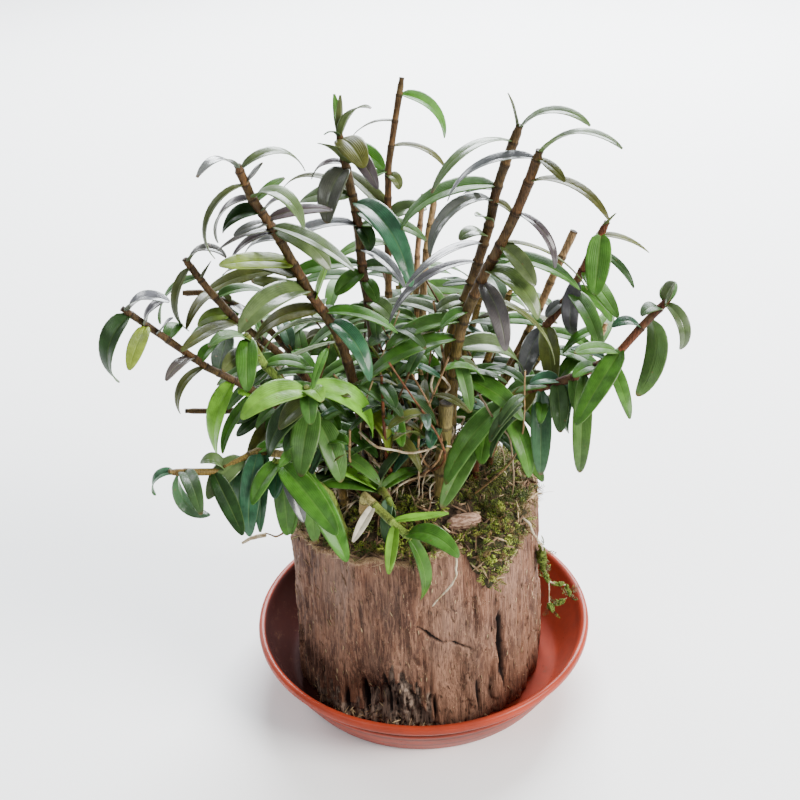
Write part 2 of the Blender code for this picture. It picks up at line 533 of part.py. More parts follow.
def hole_for(way, stops):
    """The cane's own foot, grown by the gap all round, to be cut out of the bed."""
    grow = CONTACT_GAP * 1.3 / math.cos(math.pi / CANE_SIDES)
    low = [(distance, radius + grow) for distance, radius in stops if distance < HOLE_REACH]
    return tube(way, [(-CONTACT_GAP * 1.2, low[0][1])] + low[1:])


# Leaves

def blade(leaf, root, grow=0, first=0.0):
    """A strap-shaped blade of one thickness that rises from its root, bends over and rolls over."""
    heading = math.radians(leaf.heading)
    up = Vector((0, 0, 1))
    along = Vector((math.cos(heading), math.sin(heading), 0))
    level = Vector((-along.y, along.x, 0))
    across = (level + up * math.tan(math.radians(leaf.roll)) * level.y).normalized()
    length = leaf.length * MM
    stations = BLADE_STATIONS if length > LONG_BLADE else SHORT_BLADE_STATIONS
    rings = []
    point = root.copy()
    done = 0.0
    for station in stations:
        while done < station - 1e-6:
            step = min(0.02, station - done)
            angle = math.radians(leaf.rise - leaf.bend * (done + step / 2) ** 1.2)
            point = point + (along * math.cos(angle) + up * math.sin(angle)) * length * step
            done += step
        if station < first:
            continue
        angle = math.radians(leaf.rise - leaf.bend * station ** 1.2)
        normal = (along * math.cos(angle) + up * math.sin(angle)).cross(across).normalized()
        full = math.sin(math.pi * station ** 0.85) ** BLADE_FULLNESS
        half = max(BLADE_ROOT_WIDTH, leaf.width * MM * full) / 2
        side, lift = across * (half + grow), normal * (BLADE_THICKNESS / 2 + grow)
        if station == 1.0:
            point = point + (along * math.cos(angle) + up * math.sin(angle)) * grow
            side = across * grow
        rings.append([point - side - lift, point + side - lift, point + side + lift, point - side + lift])
    return loft(rings)


def tree_of(body):
    return BVHTree.FromPolygons(*body)


def place_leaves(cane, way, stops, others):
    """Blades of a cane, each turned, raised or shortened by the least that keeps it clear of the others."""
    blades = []
    for leaf in (Leaf(*numbers) for numbers in cane.leaves):
        root = axis_point(way, stops, min(leaf.place / 100 * way.length, way.length - 3 * MM))
        for heading, rise, share in LEAF_TRIES:
            tried = leaf._replace(heading=leaf.heading + heading, rise=leaf.rise + rise,
                                  length=leaf.length * share)
            around = tree_of(blade(tried, root, BLADE_CLEARANCE))
            outer = tree_of(blade(tried, root, 0, 0.1))
            if any(around.overlap(other) for other in others):
                continue
            if any(outer.overlap(own) for _, _, own in blades):
                continue
            blades.append((tried, root, outer))
            break
    return blades


def leaf_tries():
    turns = [(0, 0)]
    for size in (5, 10, 16, 24, 34, 46):
        turns += [(size, 0), (-size, 0), (0, size), (0, -size), (size, size), (-size, size), (size, -size),
                  (-size, -size)]
    return [(heading, rise, share) for share in (1, 0.85, 0.7, 0.55) for heading, rise in turns]


LEAF_TRIES = leaf_tries()


def clear_of(way, radius, others):
    """Whether a cane's way keeps its distance from the ways of the others."""
    for other, other_radius in others:
        least = NODE_SWELL * (radius + other_radius) * MM + CANE_CLEARANCE
        if any((point - stop).length < least for point in way.points for stop in other.points):
            return False
    return True


def back_fan(planted):
    """Leafy canes that lean out behind the planted ones, with their leaves in two ranks."""
    dice = random.Random(SEED)
    taken = [(cane_way(cane), cane.radius) for cane in planted]
    canes = []
    for number in range(FAN_CANES):
        share = number / (FAN_CANES - 1)
        degrees = FAN_HEADINGS[0] + (FAN_HEADINGS[1] - FAN_HEADINGS[0]) * share
        reach, rise = dice.uniform(34, 48), dice.uniform(50, 68)
        ranks = [dice.uniform(0.45, 0.95) * (90 if place % 2 else -90) for place in range(FAN_LEAVES)]
        shapes = [(dice.uniform(5, 40), dice.uniform(50, 85), dice.uniform(30, 42), dice.uniform(7, 10),
                   dice.uniform(-10, 25)) for _ in ranks]
        for shift, inset in FAN_SHIFTS:
            turn = math.radians(degrees + shift)
            out = Vector((math.cos(turn), math.sin(turn), 0))
            foot = LOG_CENTRE / MM + out * ((43 if number % 2 else 36) - inset)
            way = [foot + out * 4 + Vector((0, 0, 136)),
                   foot + out * reach * 0.55 + Vector((0, 0, 122 + rise * 0.6)),
                   foot + out * reach + Vector((0, 0, 124 + rise))]
            leaves = [(100 - 10 * place, degrees + shift + ranks[place], *shapes[place])
                      for place in range(FAN_LEAVES)]
            cane = Cane(f"cane_fan_{number + 1}", (foot.x, foot.y), [tuple(point) for point in way],
                        FAN_RADIUS, leaves)
            if clear_of(cane_way(cane), cane.radius, taken):
                taken.append((cane_way(cane), cane.radius))
                canes.append(cane)
                break
    return canes


def finish(part):
    """Weld the mesh, merge what the cuts split on flat faces, and give it one plain material of its own."""
    mesh = part.data
    work = bmesh.new()
    work.from_mesh(mesh)
    bmesh.ops.remove_doubles(work, verts=work.verts, dist=WELD)
    bmesh.ops.dissolve_limit(work, angle_limit=FLAT, verts=work.verts, edges=work.edges)
    bmesh.ops.triangulate(work, faces=work.faces)
    bmesh.ops.recalc_face_normals(work, faces=work.faces)
    work.to_mesh(mesh)
    work.free()
    material = bpy.data.materials.new(part.name)
    material.use_nodes = True
    mesh.materials.clear()
    mesh.materials.append(material)


def main():
    for old in list(bpy.data.objects):
        bpy.data.objects.remove(old)

    fixed = {"saucer": saucer(), "hollow_log": hollow_log(), "growing_bed": growing_bed()}
    for number, chip in enumerate(CHIPS):
        fixed[f"bark_chip_{number + 1}"] = bark_chip(*chip)
    drapes = [moss_drape(*drape) for drape in MOSS_DRAPES]
    planted = list(LEAFY_CANES) + list(BARE_CANES)
    canes = planted + back_fan(planted)
    ways = {cane.name: cane_way(cane) for cane in canes}
    stops = {cane.name: cane_stops(cane, ways[cane.name]) for cane in canes}
    tubes = {cane.name: tube(ways[cane.name], stops[cane.name]) for cane in canes}

    obstacles = [tree_of(body) for body in list(fixed.values()) + drapes]
    tube_trees = {name: tree_of(body) for name, body in tubes.items()}
    for name, body in fixed.items():
        part = solid(name, body)
        if name == "growing_bed":
            combine(part, drapes, "UNION")
            cutters = [hole_for(ways[cane.name], stops[cane.name]) for cane in canes]
            cutters += [bark_chip(*chip, grow=CONTACT_GAP * 1.5) for chip in CHIPS]
            combine(part, cutters, "DIFFERENCE")
        finish(part)

    grown = []
    for cane in canes:
        way = ways[cane.name]
        others = obstacles + grown + [tree for name, tree in tube_trees.items() if name != cane.name]
        blades = place_leaves(cane, way, stops[cane.name], others)
        part = solid(cane.name, tubes[cane.name])
        if blades:
            combine(part, [blade(leaf, root) for leaf, root, _ in blades], "UNION")
            grown += [tree_of(blade(leaf, root)) for leaf, root, _ in blades]
        finish(part)


main()
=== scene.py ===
"""Looks of the dendrobium orchid on its hollow log: every surface, leaf, root and sprig of moss.

Laid out as an add-on and run as a script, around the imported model.
"""

import math
import random
from collections import namedtuple

import bmesh
import bpy
from bpy.props import FloatProperty, FloatVectorProperty, IntProperty, PointerProperty
from mathutils import Matrix, Vector, noise
from mathutils.kdtree import KDTree


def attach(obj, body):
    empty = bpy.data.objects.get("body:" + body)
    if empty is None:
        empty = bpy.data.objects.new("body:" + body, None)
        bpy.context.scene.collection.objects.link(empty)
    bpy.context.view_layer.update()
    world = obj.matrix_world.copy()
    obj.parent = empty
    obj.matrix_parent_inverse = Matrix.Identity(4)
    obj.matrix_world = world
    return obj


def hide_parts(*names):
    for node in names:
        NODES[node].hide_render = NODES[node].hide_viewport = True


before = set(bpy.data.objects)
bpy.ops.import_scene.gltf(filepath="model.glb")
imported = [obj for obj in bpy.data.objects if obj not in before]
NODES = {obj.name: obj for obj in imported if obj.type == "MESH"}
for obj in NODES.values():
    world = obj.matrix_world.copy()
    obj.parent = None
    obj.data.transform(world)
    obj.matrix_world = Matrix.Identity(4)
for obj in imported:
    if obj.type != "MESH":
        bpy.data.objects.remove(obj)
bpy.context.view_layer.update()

bl_info = {
    "name": "Potted Dendrobium",
    "version": (1, 0, 0),
    "blender": (4, 5, 0),
    "location": "3D View > Sidebar > Orchid",
    "description": "Dresses the packed orchid, its hollow log and its saucer",
    "category": "Object",
}

MM = 0.001
BODY = "root"

# The part's own driving dimensions, repeated from its source
SAUCER_WALL = 2.2 * MM
LOG_CENTRE = Vector((-3 * MM, 0, 0))
LOG_FOOT_RADIUS = 64.6 * MM
LOG_TOP_RADIUS = 61.6 * MM
LOG_BASE_Z = 2.5 * MM
LOG_RIM_Z = 105.5 * MM
LOG_RIM_SLANT = 8.5 * MM
LOG_RIM_HIGH_SIDE = math.radians(-35)
LOG_CAVITY_RADIUS = 52 * MM
LOG_SCARS = ((-113, 0.16, 11, 0.15, 5.0), (-74, 0.34, 7, 0.12, 2.4), (-58, 0.3, 4.5, 0.35, 2.0))
BED_RADIUS = LOG_CAVITY_RADIUS - 0.3 * MM
BED_CROWN_Z = 121 * MM
BED_EDGE_DROP = 2.0 * MM
CANE_SINK = 9 * MM
INTERNODE = 21 * MM
THIN_CANE = 2.25
BLADE_ROOT_WIDTH = 1.8 * MM
BLADE_THICKNESS = 0.8 * MM
BLADE_FULLNESS = 0.5
CANE_CLEARANCE = 1.6 * MM
NODE_SWELL = 1.12
FAN_CANES = 8
FAN_LEAVES = 6
FAN_RADIUS = 1.9
FAN_HEADINGS = (18, 162)
FAN_SHIFTS = [(side * size, inset) for inset in (0, 5, -3) for size in (0, 4, 8, 12) for side in (1, -1)]
SEED = 41

# The planting plan, repeated from the part. A cane's foot is its place on the bed, and its way goes on
# through the points above it. Then comes its radius. All of these are in millimetres. A leaf is its place in
# hundredths of the way up the cane, then its heading in plan, the rise of its root and the bend along it in
# degrees, its length and width in millimetres, and the degrees that its blade is rolled towards the viewer.
Cane = namedtuple("Cane", "name foot way radius leaves")
Leaf = namedtuple("Leaf", "place heading rise bend length width roll")

LEAFY_CANES = (
    Cane("cane_tall_right_inner", (8, 2),
         ((11, 0, 140), (17, -3, 192), (27, -8, 226), (35, -14, 257), (38, -17, 275), (47, -22, 304)),
         2.4, (
        (65, 200, 10, 80, 53, 6, 10), (70, 225, 20, 50, 52, 6, 10), (100, 180, 85, 20, 17, 5, 0),
        (100, 335, 55, 100, 36, 6, 5), (96, 220, 25, 80, 52, 6, 5), (84, 170, 10, 75, 23, 5, 5),
        (81, 215, 25, 120, 47, 8, 15), (81, 330, -5, 50, 11, 5, 10), (59, 185, 10, 25, 13, 5, 5),
        (72, 215, 50, 90, 17, 8, 15), (75, 230, 65, 60, 13, 7, 15), (54, 195, 10, 60, 16, 8, 20),
        (49, 205, 10, 55, 19, 8, 20), (85, 184, 12, 75, 50, 11, 15), (36, 100, 10, 60, 36, 9, 15),
        (43, 200, 0, 60, 36, 9, 15))),
    Cane("cane_tall_right_outer", (17, -10),
         ((16, -9, 140), (20, -14, 198), (30, -20, 231), (41, -26, 257), (49, -30, 279), (54, -34, 297)),
         2.5, (
        (50, 155, 25, 70, 59, 8, 5), (98, 175, 10, 80, 45, 8, 10), (100, 325, 55, 90, 43, 6, 5),
        (98, 310, -5, 35, 17, 5, 0), (92, 320, 25, 80, 43, 6, 0), (84, 320, -5, 90, 32, 5, 0),
        (76, 355, -5, 60, 46, 5, 0), (67, 310, 20, 90, 38, 11, 15), (60, 345, -5, 80, 53, 5, 0),
        (44, 15, 10, 90, 42, 12, 30), (50, 150, -20, 130, 28, 9, 15), (55, 210, 10, 60, 16, 7, 15),
        (71, 350, 5, 55, 42, 10, 15), (47, 186, 16, 52, 52, 11, 15), (42, 290, -35, 40, 28, 7, 15),
        (36, 330, 0, 50, 40, 12, 15), (66, 20, 25, 60, 34, 8, 15), (52, 175, 0, 55, 40, 9, 15),
        (64, 290, -5, 80, 37, 9, 20), (75, 310, -15, 35, 25, 9, 15))),
    Cane("cane_centre", (-19, 2),
         ((-20, 1, 140), (-19, 2, 199), (-22, 4, 229), (-23, 6, 253), (-27, 8, 279), (-29, 8, 294)),
         2.3, (
        (100, 300, -5, 40, 35, 8, 10), (100, 295, 10, 50, 26, 12, 20), (92, 235, 55, 30, 22, 13, 30),
        (100, 320, 85, 0, 20, 4, 0), (100, 305, 70, 70, 34, 6, 10), (100, 235, 60, 75, 13, 3, 0),
        (91, 240, -5, 90, 30, 12, 15), (92, 165, 15, 90, 20, 5, 10), (84, 160, 40, 90, 39, 5, 0),
        (84, 170, 10, 40, 25, 12, 30), (76, 210, 25, 50, 40, 8, 15), (80, 320, -5, 70, 33, 8, 20),
        (82, 300, 15, 90, 59, 11, 20), (70, 310, 10, 60, 33, 7, 15), (65, 10, 10, 60, 19, 9, 20),
        (62, 300, -5, 60, 14, 7, 15), (64, 220, -5, 30, 18, 9, 20), (76, 305, -5, 90, 14, 8, 10),
        (56, 320, 10, 70, 16, 9, 20), (54, 185, -5, 40, 21, 9, 20), (100, 100, 80, 25, 20, 4, 15),
        (96, 300, -15, 50, 24, 10, 15), (66, 186, 12, 38, 36, 9, 15), (45, 20, 10, 50, 34, 8, 15),
        (40, 200, 10, 60, 34, 8, 15), (30, 300, 0, 70, 34, 8, 15), (16, 205, -12, 15, 32, 8, 15),
        (76, 345, 20, 70, 34, 8, 15), (62, 172, 15, 55, 38, 9, 15), (52, 190, -5, 50, 36, 9, 15))),
    Cane("cane_upper_left", (-24, -10),
         ((-25, -10, 146), (-33, -12, 200), (-46, -15, 229), (-58, -18, 259), (-68, -20, 279),
          (-71, -22, 292)),
         2.3, (
        (100, 240, 55, 90, 33, 5, 0), (99, 40, 30, 100, 40, 6, 5), (95, 5, 50, 5, 12, 5, 10),
        (95, 210, -5, 120, 42, 6, 0), (91, 170, -5, 100, 31, 8, 5), (87, 175, 10, 80, 22, 9, 25),
        (84, 205, 10, 40, 17, 6, 10), (82, 205, 10, 40, 27, 6, 5), (81, 205, 10, 60, 23, 6, 5),
        (79, 170, 10, 70, 19, 6, 5), (83, 320, 5, 35, 48, 9, 15), (72, 215, 25, 20, 38, 11, 30),
        (68, 155, 25, 70, 44, 12, 30), (64, 230, 25, 60, 47, 13, 30), (54, 175, 10, 85, 42, 6, 0),
        (54, 305, 10, 90, 39, 10, 20), (48, 185, -5, 40, 43, 4, 0), (91, 320, 45, 130, 38, 9, 15),
        (87, 335, 55, 50, 17, 6, 10), (61, 5, 70, 0, 20, 9, 0), (90, 40, 35, 30, 18, 5, 15),
        (36, 330, -10, 30, 30, 8, 15), (57, 350, 10, 55, 36, 9, 15), (30, 195, -5, 40, 34, 8, 15),
        (58, 180, 5, 65, 38, 10, 30), (63, 190, 30, 20, 28, 8, 20), (29, 310, 10, 110, 32, 10, 10),
        (85, 5, 20, 35, 29, 7, 30), (82, 335, 0, 65, 32, 10, 30))),
    Cane("cane_left", (-33, -1),
         ((-36, -2, 143), (-54, -5, 183), (-79, -8, 210), (-93, -10, 232), (-100, -12, 246)),
         1.9, (
        (100, 350, 70, 130, 23, 6, 0), (97, 220, -35, 100, 35, 7, 0), (92, 335, 60, 5, 12, 4, 0),
        (66, 175, 80, 10, 17, 8, 20), (78, 175, 10, 60, 18, 8, 25), (74, 235, 25, 40, 41, 7, 20),
        (93, 200, -10, 85, 34, 8, 15), (85, 20, 20, 60, 26, 7, 15), (75, 185, 25, 90, 36, 9, 15),
        (58, 190, -5, 30, 34, 9, 15), (42, 190, 0, 60, 36, 9, 15))),
    Cane("cane_far_left", (-46, -8),
         ((-50, -13, 149), (-74, -20, 181), (-95, -24, 198), (-116, -28, 221), (-127, -30, 232)),
         1.8, (
        (100, 340, 55, 80, 25, 9, 10), (92, 5, 85, 80, 16, 8, 15), (88, 340, 60, 30, 12, 7, 10),
        (97, 220, -20, 110, 37, 12, 20), (92, 260, -5, 25, 28, 8, 10), (76, 240, 25, 60, 22, 6, 5),
        (72, 210, -5, 105, 29, 6, 5), (63, 225, -35, 80, 44, 12, 25), (53, 190, 40, 40, 13, 6, 20),
        (85, 60, 45, 60, 16, 8, 15), (74, 50, 45, 50, 14, 7, 15), (55, 215, -20, 60, 34, 7, 15),
        (68, 85, 20, 20, 30, 10, 20))),
    Cane("cane_left_back", (-31, 16),
         ((-34, 16, 138), (-64, 15, 189), (-88, 12, 215), (-107, 10, 219)),
         1.7, (
        (84, 240, 60, 105, 45, 7, 5), (84, 315, -15, 0, 13, 7, 0), (86, 295, -15, 130, 15, 10, 25),
        (62, 60, 20, 60, 32, 8, 15), (93, 5, 30, 35, 36, 9, 15), (43, 60, 45, 20, 31, 10, 30))),
    Cane("cane_left_low", (-46, 6),
         ((-50, 5, 140), (-71, 0, 158), (-98, -2, 161), (-111, -4, 163)),
         1.6, (
        (68, 190, -5, 30, 14, 8, 20), (66, 235, -5, 0, 18, 8, 20), (66, 100, 10, 60, 34, 8, 15),
        (48, 130, 20, 60, 34, 8, 15), (83, 20, 45, 20, 33, 7, 30), (58, 240, 5, 80, 38, 10, 10))),
    Cane("cane_low_left_pale", (-43, -24),
         ((-50, -28, 143), (-72, -36, 159), (-95, -46, 154), (-113, -52, 160)),
         1.9, (
        (99, 185, 10, 130, 19, 7, 10), (96, 160, -65, 125, 31, 9, 20), (83, 295, -15, 10, 38, 9, 20),
        (70, 220, -5, 50, 26, 12, 30), (64, 260, -10, 80, 43, 10, 20), (61, 265, -20, 40, 39, 7, 20),
        (79, 160, 55, 120, 13, 8, 20), (78, 100, 20, 50, 20, 9, 15), (50, 262, -50, 35, 38, 9, 15),
        (42, 280, -45, 40, 38, 10, 15), (66, 20, 20, 60, 28, 7, 15), (94, 290, 30, 80, 34, 8, 15),
        (68, 230, -15, 110, 29, 9, 30))),
    Cane("shoot_low_front_left", (-35, -35),
         ((-42, -37, 133), (-56, -41, 151), (-66, -46, 160)),
         1.9, (
        (97, 255, -45, 10, 17, 8, 20), (92, 300, -20, 0, 33, 13, 20), (96, 305, -20, 15, 49, 12, 25),
        (94, 295, -40, 20, 29, 8, 25), (100, 225, -20, 40, 24, 9, 20), (100, 262, -40, 45, 40, 10, 15),
        (80, 312, -40, 20, 48, 12, 15))),
    Cane("shoot_bright_front", (-35, -18),
         ((-40, -22, 142), (-46, -30, 171), (-49, -38, 193)),
         2.1, (
        (99, 215, 30, 70, 37, 13, 30), (100, 305, 45, 100, 14, 9, 20), (98, 10, -5, 90, 45, 14, 25),
        (88, 210, -5, 80, 34, 14, 20), (90, 215, -20, 35, 20, 12, 20), (80, 230, -10, 30, 24, 10, 20),
        (57, 240, -30, 10, 20, 4, 10), (96, 275, 5, 80, 18, 8, 15), (85, 240, -40, 40, 34, 14, 15),
        (75, 300, -30, 45, 32, 12, 15), (62, 200, -10, 50, 34, 8, 15), (50, 330, 0, 50, 30, 8, 15))),
    Cane("shoot_left", (-33, -9),
         ((-37, -11, 143), (-54, -15, 172), (-70, -21, 198), (-75, -25, 214)),
         2.0, (
        (98, 270, -5, 60, 28, 10, 15), (96, 220, 55, 90, 25, 9, 20), (88, 235, 55, 80, 27, 9, 20),
        (83, 10, 25, 80, 24, 8, 15), (75, 170, 25, 70, 15, 9, 20), (70, 340, 5, 60, 34, 8, 15),
        (45, 340, 0, 60, 32, 8, 15))),
    Cane("cane_tall_back", (-13, 36),
         ((-13, 38, 125), (-11, 45, 193), (-8, 48, 263), (-4, 50, 284), (0, 52, 304)),
         1.8, (
        (96, 355, -5, 90, 33, 9, 15), (90, 180, 10, 60, 22, 4, 0), (84, 355, 10, 75, 30, 5, 0),
        (66, 0, 40, 65, 21, 10, 25), (77, 310, 20, 120, 11, 6, 10), (78, 175, -5, 50, 12, 7, 10),
        (60, 200, 20, 60, 30, 8, 15), (68, 150, 45, 20, 31, 10, 15), (22, 300, 5, 65, 36, 10, 10))),
    Cane("cane_back_tan", (3, 28),
         ((3, 30, 127), (6, 32, 199), (9, 34, 229), (13, 35, 250)),
         1.9, (
        (55, 180, 10, 60, 30, 8, 15), (36, 190, 10, 60, 32, 8, 15), (44, 290, -5, 95, 36, 10, 20),
        (29, 280, 10, 65, 31, 8, 5))),
    Cane("cane_back_thin", (8, 43),
         ((7, 43, 120), (3, 42, 194), (6, 44, 235), (8, 45, 249)),
         1.6, (
        (60, 80, 20, 60, 32, 8, 15), (50, 250, 20, 60, 30, 8, 15), (42, 90, 10, 60, 34, 8, 15),
        (68, 10, -5, 20, 35, 9, 30))),
    Cane("cane_right", (27, 14),
         ((29, 15, 133), (57, 18, 179), (74, 18, 201), (84, 18, 224), (92, 16, 243)),
         2.1, (
        (100, 305, 55, 5, 11, 3, 0), (96, 255, -35, 30, 31, 12, 20), (95, 0, -5, 40, 26, 6, 10),
        (90, 320, -5, 60, 28, 5, 10), (79, 235, -45, 90, 33, 9, 20), (82, 295, -10, 25, 33, 9, 20),
        (59, 235, -10, 70, 29, 10, 20), (70, 240, -5, 50, 12, 6, 10), (75, 330, -20, 60, 26, 9, 15),
        (60, 160, 20, 60, 30, 8, 15), (45, 280, 0, 60, 36, 9, 15), (57, 350, 10, 60, 34, 8, 15),
        (40, 170, 10, 60, 36, 9, 15), (74, 290, 0, 65, 38, 10, 20), (60, 270, -15, 35, 35, 10, 10),
        (29, 195, -15, 20, 24, 10, 20))),
    Cane("cane_far_right", (27, -6),
         ((30, -8, 143), (42, -12, 167), (68, -14, 175), (91, -16, 188), (102, -16, 202), (116, -16, 218)),
         2.1, (
        (98, 10, 85, 40, 11, 10, 20), (99, 305, -5, 120, 27, 7, 5), (96, 215, 40, 90, 13, 8, 15),
        (92, 45, -50, 110, 46, 12, 10), (88, 190, 55, 100, 16, 6, 10), (80, 230, -25, 10, 45, 12, 15),
        (78, 205, 35, 45, 26, 8, 20), (74, 195, 40, 30, 21, 7, 20), (70, 215, 25, 60, 15, 8, 20),
        (62, 230, -50, 80, 32, 9, 10), (62, 270, -20, 35, 18, 6, 10), (66, 260, -20, 95, 53, 9, 10),
        (74, 285, -15, 40, 32, 8, 10), (55, 175, 10, 50, 22, 9, 20), (50, 215, -5, 10, 24, 12, 20),
        (52, 265, -45, 35, 42, 10, 10), (58, 170, 20, 70, 15, 8, 15), (42, 205, -5, 50, 53, 13, 15),
        (57, 270, -20, 55, 25, 9, 10), (100, 60, 60, 20, 13, 8, 15), (38, 300, -20, 65, 40, 10, 15),
        (34, 250, -15, 50, 28, 12, 15), (28, 212, -22, 15, 48, 11, 15))),
    Cane("cane_right_thin", (36, 6),
         ((39, 6, 138), (62, 9, 150), (77, 12, 159), (87, 12, 177), (93, 12, 192)),
         1.7, (
        (100, 180, 20, 60, 24, 7, 15), (65, 60, 20, 60, 30, 8, 15), (40, 120, 20, 60, 30, 8, 15),
        (88, 215, 0, 60, 30, 8, 15), (29, 305, 0, 50, 37, 9, 30), (87, 65, 20, 20, 33, 9, 30))),
    Cane("shoot_over_rim", (-26, -27),
         ((-28, -34, 130), (-25, -43, 135), (-14, -54, 129), (-5, -62, 124)),
         2.0, (
        (81, 355, 10, 0, 27, 5, 5), (85, 260, -20, 15, 25, 6, 15), (98, 320, 40, 85, 33, 10, 25),
        (100, 320, -50, 75, 38, 8, 20), (64, 240, -15, 10, 22, 5, 20))),
    Cane("shoot_front_dark", (-20, -17),
         ((-20, -27, 133), (-17, -37, 134), (-13, -46, 131)),
         1.8, (
        (60, 185, 45, 25, 30, 9, 25), (58, 200, 25, 60, 30, 11, 25), (58, 0, 85, 45, 24, 10, 20),
        (90, 260, 10, 85, 12, 6, 10), (100, 235, -30, 50, 24, 8, 10), (60, 40, 20, 50, 28, 7, 15))),
)

# Old canes that have dropped their leaves: the dry stick at the right and the short back bulbs.
BARE_CANES = (
    Cane("dry_stick", (33, 27), ((34, 27, 130), (58, 28, 182), (73, 30, 219), (79, 30, 233)), 1.9, ()),
    Cane("back_bulb_right", (10, -24), ((11, -24, 135), (13, -25, 160), (14, -25, 174)), 3.2, ()),
    Cane("back_bulb_middle", (-7, -13), ((-7, -13, 132), (-5, -14, 150), (-5, -15, 158)), 2.8, ()),
    Cane("back_bulb_left", (-24, 24), ((-25, 25, 132), (-29, 27, 152), (-31, 28, 162)), 3.4, ()),
)


# Shapes repeated from the part

def level(angle):
    """The level direction at an angle."""
    return Vector((math.cos(angle), math.sin(angle), 0))


def polar(radius, angle, z):
    return Vector((LOG_CENTRE.x + radius * math.cos(angle), LOG_CENTRE.y + radius * math.sin(angle), z))


def log_rim(angle):
    torn = 0.9 * math.sin(9 * angle + 0.4) + 0.7 * math.sin(14 * angle + 2.0)
    return LOG_RIM_Z + LOG_RIM_SLANT * math.cos(angle - LOG_RIM_HIGH_SIDE) + torn * MM


def log_radius(angle, share):
    furrow = 0.75 * math.sin(17 * angle + 1.3 * math.sin(5 * share))
    furrow += 0.55 * math.sin(11 * angle + 2.1 - 3 * share)
    lobes = 1.1 * math.cos(2 * angle + 0.6) + 0.7 * math.cos(3 * angle - 1.1)
    broken = 0
    for centre, height, spread, rise, depth in LOG_SCARS:
        apart = math.remainder(angle - math.radians(centre), math.tau) / math.radians(spread)
        broken += depth * math.exp(-apart ** 2 - ((share - height) / rise) ** 2)
    plain = LOG_FOOT_RADIUS + (LOG_TOP_RADIUS - LOG_FOOT_RADIUS) * share
    return plain + ((furrow + lobes) * (0.55 + 0.45 * share) - broken) * MM


def bed_height(x, y):
    away = Vector((x, y, 0)) - LOG_CENTRE
    share = min(1, away.length / BED_RADIUS)
    angle = math.atan2(away.y, away.x)
    edge = log_rim(angle) - BED_EDGE_DROP
    lumps = math.sin(4 * angle + 40 * share) + 0.8 * math.sin(7 * angle - 25 * share + 1)
    return edge + (BED_CROWN_Z - edge) * (1 - share ** 2.6) + lumps * 1.1 * MM * share * (1 - share) * 4


class Way:
    """A smooth path through points, measured along its length."""

    def __init__(self, points, steps=10):
        ends = [points[0] * 2 - points[1]] + points + [points[-1] * 2 - points[-2]]
        self.points = [points[0]]
        for before, start, stop, after in zip(ends, ends[1:], ends[2:], ends[3:]):
            for step in range(1, steps + 1):
                t = step / steps
                self.points.append(0.5 * (start * 2 + (stop - before) * t
                                          + (before * 2 - start * 5 + stop * 4 - after) * t ** 2
                                          + (start * 3 - before - stop * 3 + after) * t ** 3))
        self.marks = [0]
        for start, stop in zip(self.points, self.points[1:]):
            self.marks.append(self.marks[-1] + (stop - start).length)
        self.length = self.marks[-1]

    def segment(self, distance):
        for number in range(len(self.marks) - 2):
            if distance <= self.marks[number + 1]:
                return number
        return len(self.marks) - 2

    def direction(self, distance):
        number = self.segment(distance)
        return (self.points[number + 1] - self.points[number]).normalized()

    def at(self, distance):
        number = self.segment(distance)
        return self.points[number] + self.direction(distance) * (distance - self.marks[number])


def cane_way(cane):
    x, y = cane.foot
    foot = Vector((x * MM, y * MM, bed_height(x * MM, y * MM) - CANE_SINK))
    return Way([foot] + [Vector(point) * MM for point in cane.way])


def ring_distances(cane, way):
    """Where the part's tube for a cane has its rings."""
    stops = [0]
    distance = INTERNODE * 0.75
    while distance < way.length - INTERNODE * 0.4:
        stops.append(distance)
        distance += INTERNODE / (1 if cane.radius < THIN_CANE else 2)
    return stops + [way.length - 2 * MM, way.length]


def axis_point(way, stops, distance):
    for low, high in zip(stops, stops[1:]):
        if distance <= high:
            return way.at(low).lerp(way.at(high), (distance - low) / (high - low))
    return way.at(distance)


def clear_of(way, radius, others):
    for other, other_radius in others:
        least = NODE_SWELL * (radius + other_radius) * MM + CANE_CLEARANCE
        if any((point - stop).length < least for point in way.points for stop in other.points):
            return False
    return True


def back_fan(planted):
    """The part's leaning canes behind the planted ones, by the same rule and seed."""
    dice = random.Random(SEED)
    taken = [(cane_way(cane), cane.radius) for cane in planted]
    canes = []
    for number in range(FAN_CANES):
        share = number / (FAN_CANES - 1)
        degrees = FAN_HEADINGS[0] + (FAN_HEADINGS[1] - FAN_HEADINGS[0]) * share
        reach, rise = dice.uniform(34, 48), dice.uniform(50, 68)
        ranks = [dice.uniform(0.45, 0.95) * (90 if place % 2 else -90) for place in range(FAN_LEAVES)]
        shapes = [(dice.uniform(5, 40), dice.uniform(50, 85), dice.uniform(30, 42), dice.uniform(7, 10),
                   dice.uniform(-10, 25)) for _ in ranks]
        for shift, inset in FAN_SHIFTS:
            turn = math.radians(degrees + shift)
            out = level(turn)
            foot = LOG_CENTRE / MM + out * ((43 if number % 2 else 36) - inset)
            way = [foot + out * 4 + Vector((0, 0, 136)),
                   foot + out * reach * 0.55 + Vector((0, 0, 122 + rise * 0.6)),
                   foot + out * reach + Vector((0, 0, 124 + rise))]
            leaves = [(100 - 10 * place, degrees + shift + ranks[place], *shapes[place])
                      for place in range(FAN_LEAVES)]
            cane = Cane(f"cane_fan_{number + 1}", (foot.x, foot.y), [tuple(point) for point in way],
                        FAN_RADIUS, leaves)
            if clear_of(cane_way(cane), cane.radius, taken):
                taken.append((cane_way(cane), cane.radius))
                canes.append(cane)
                break
    return canes


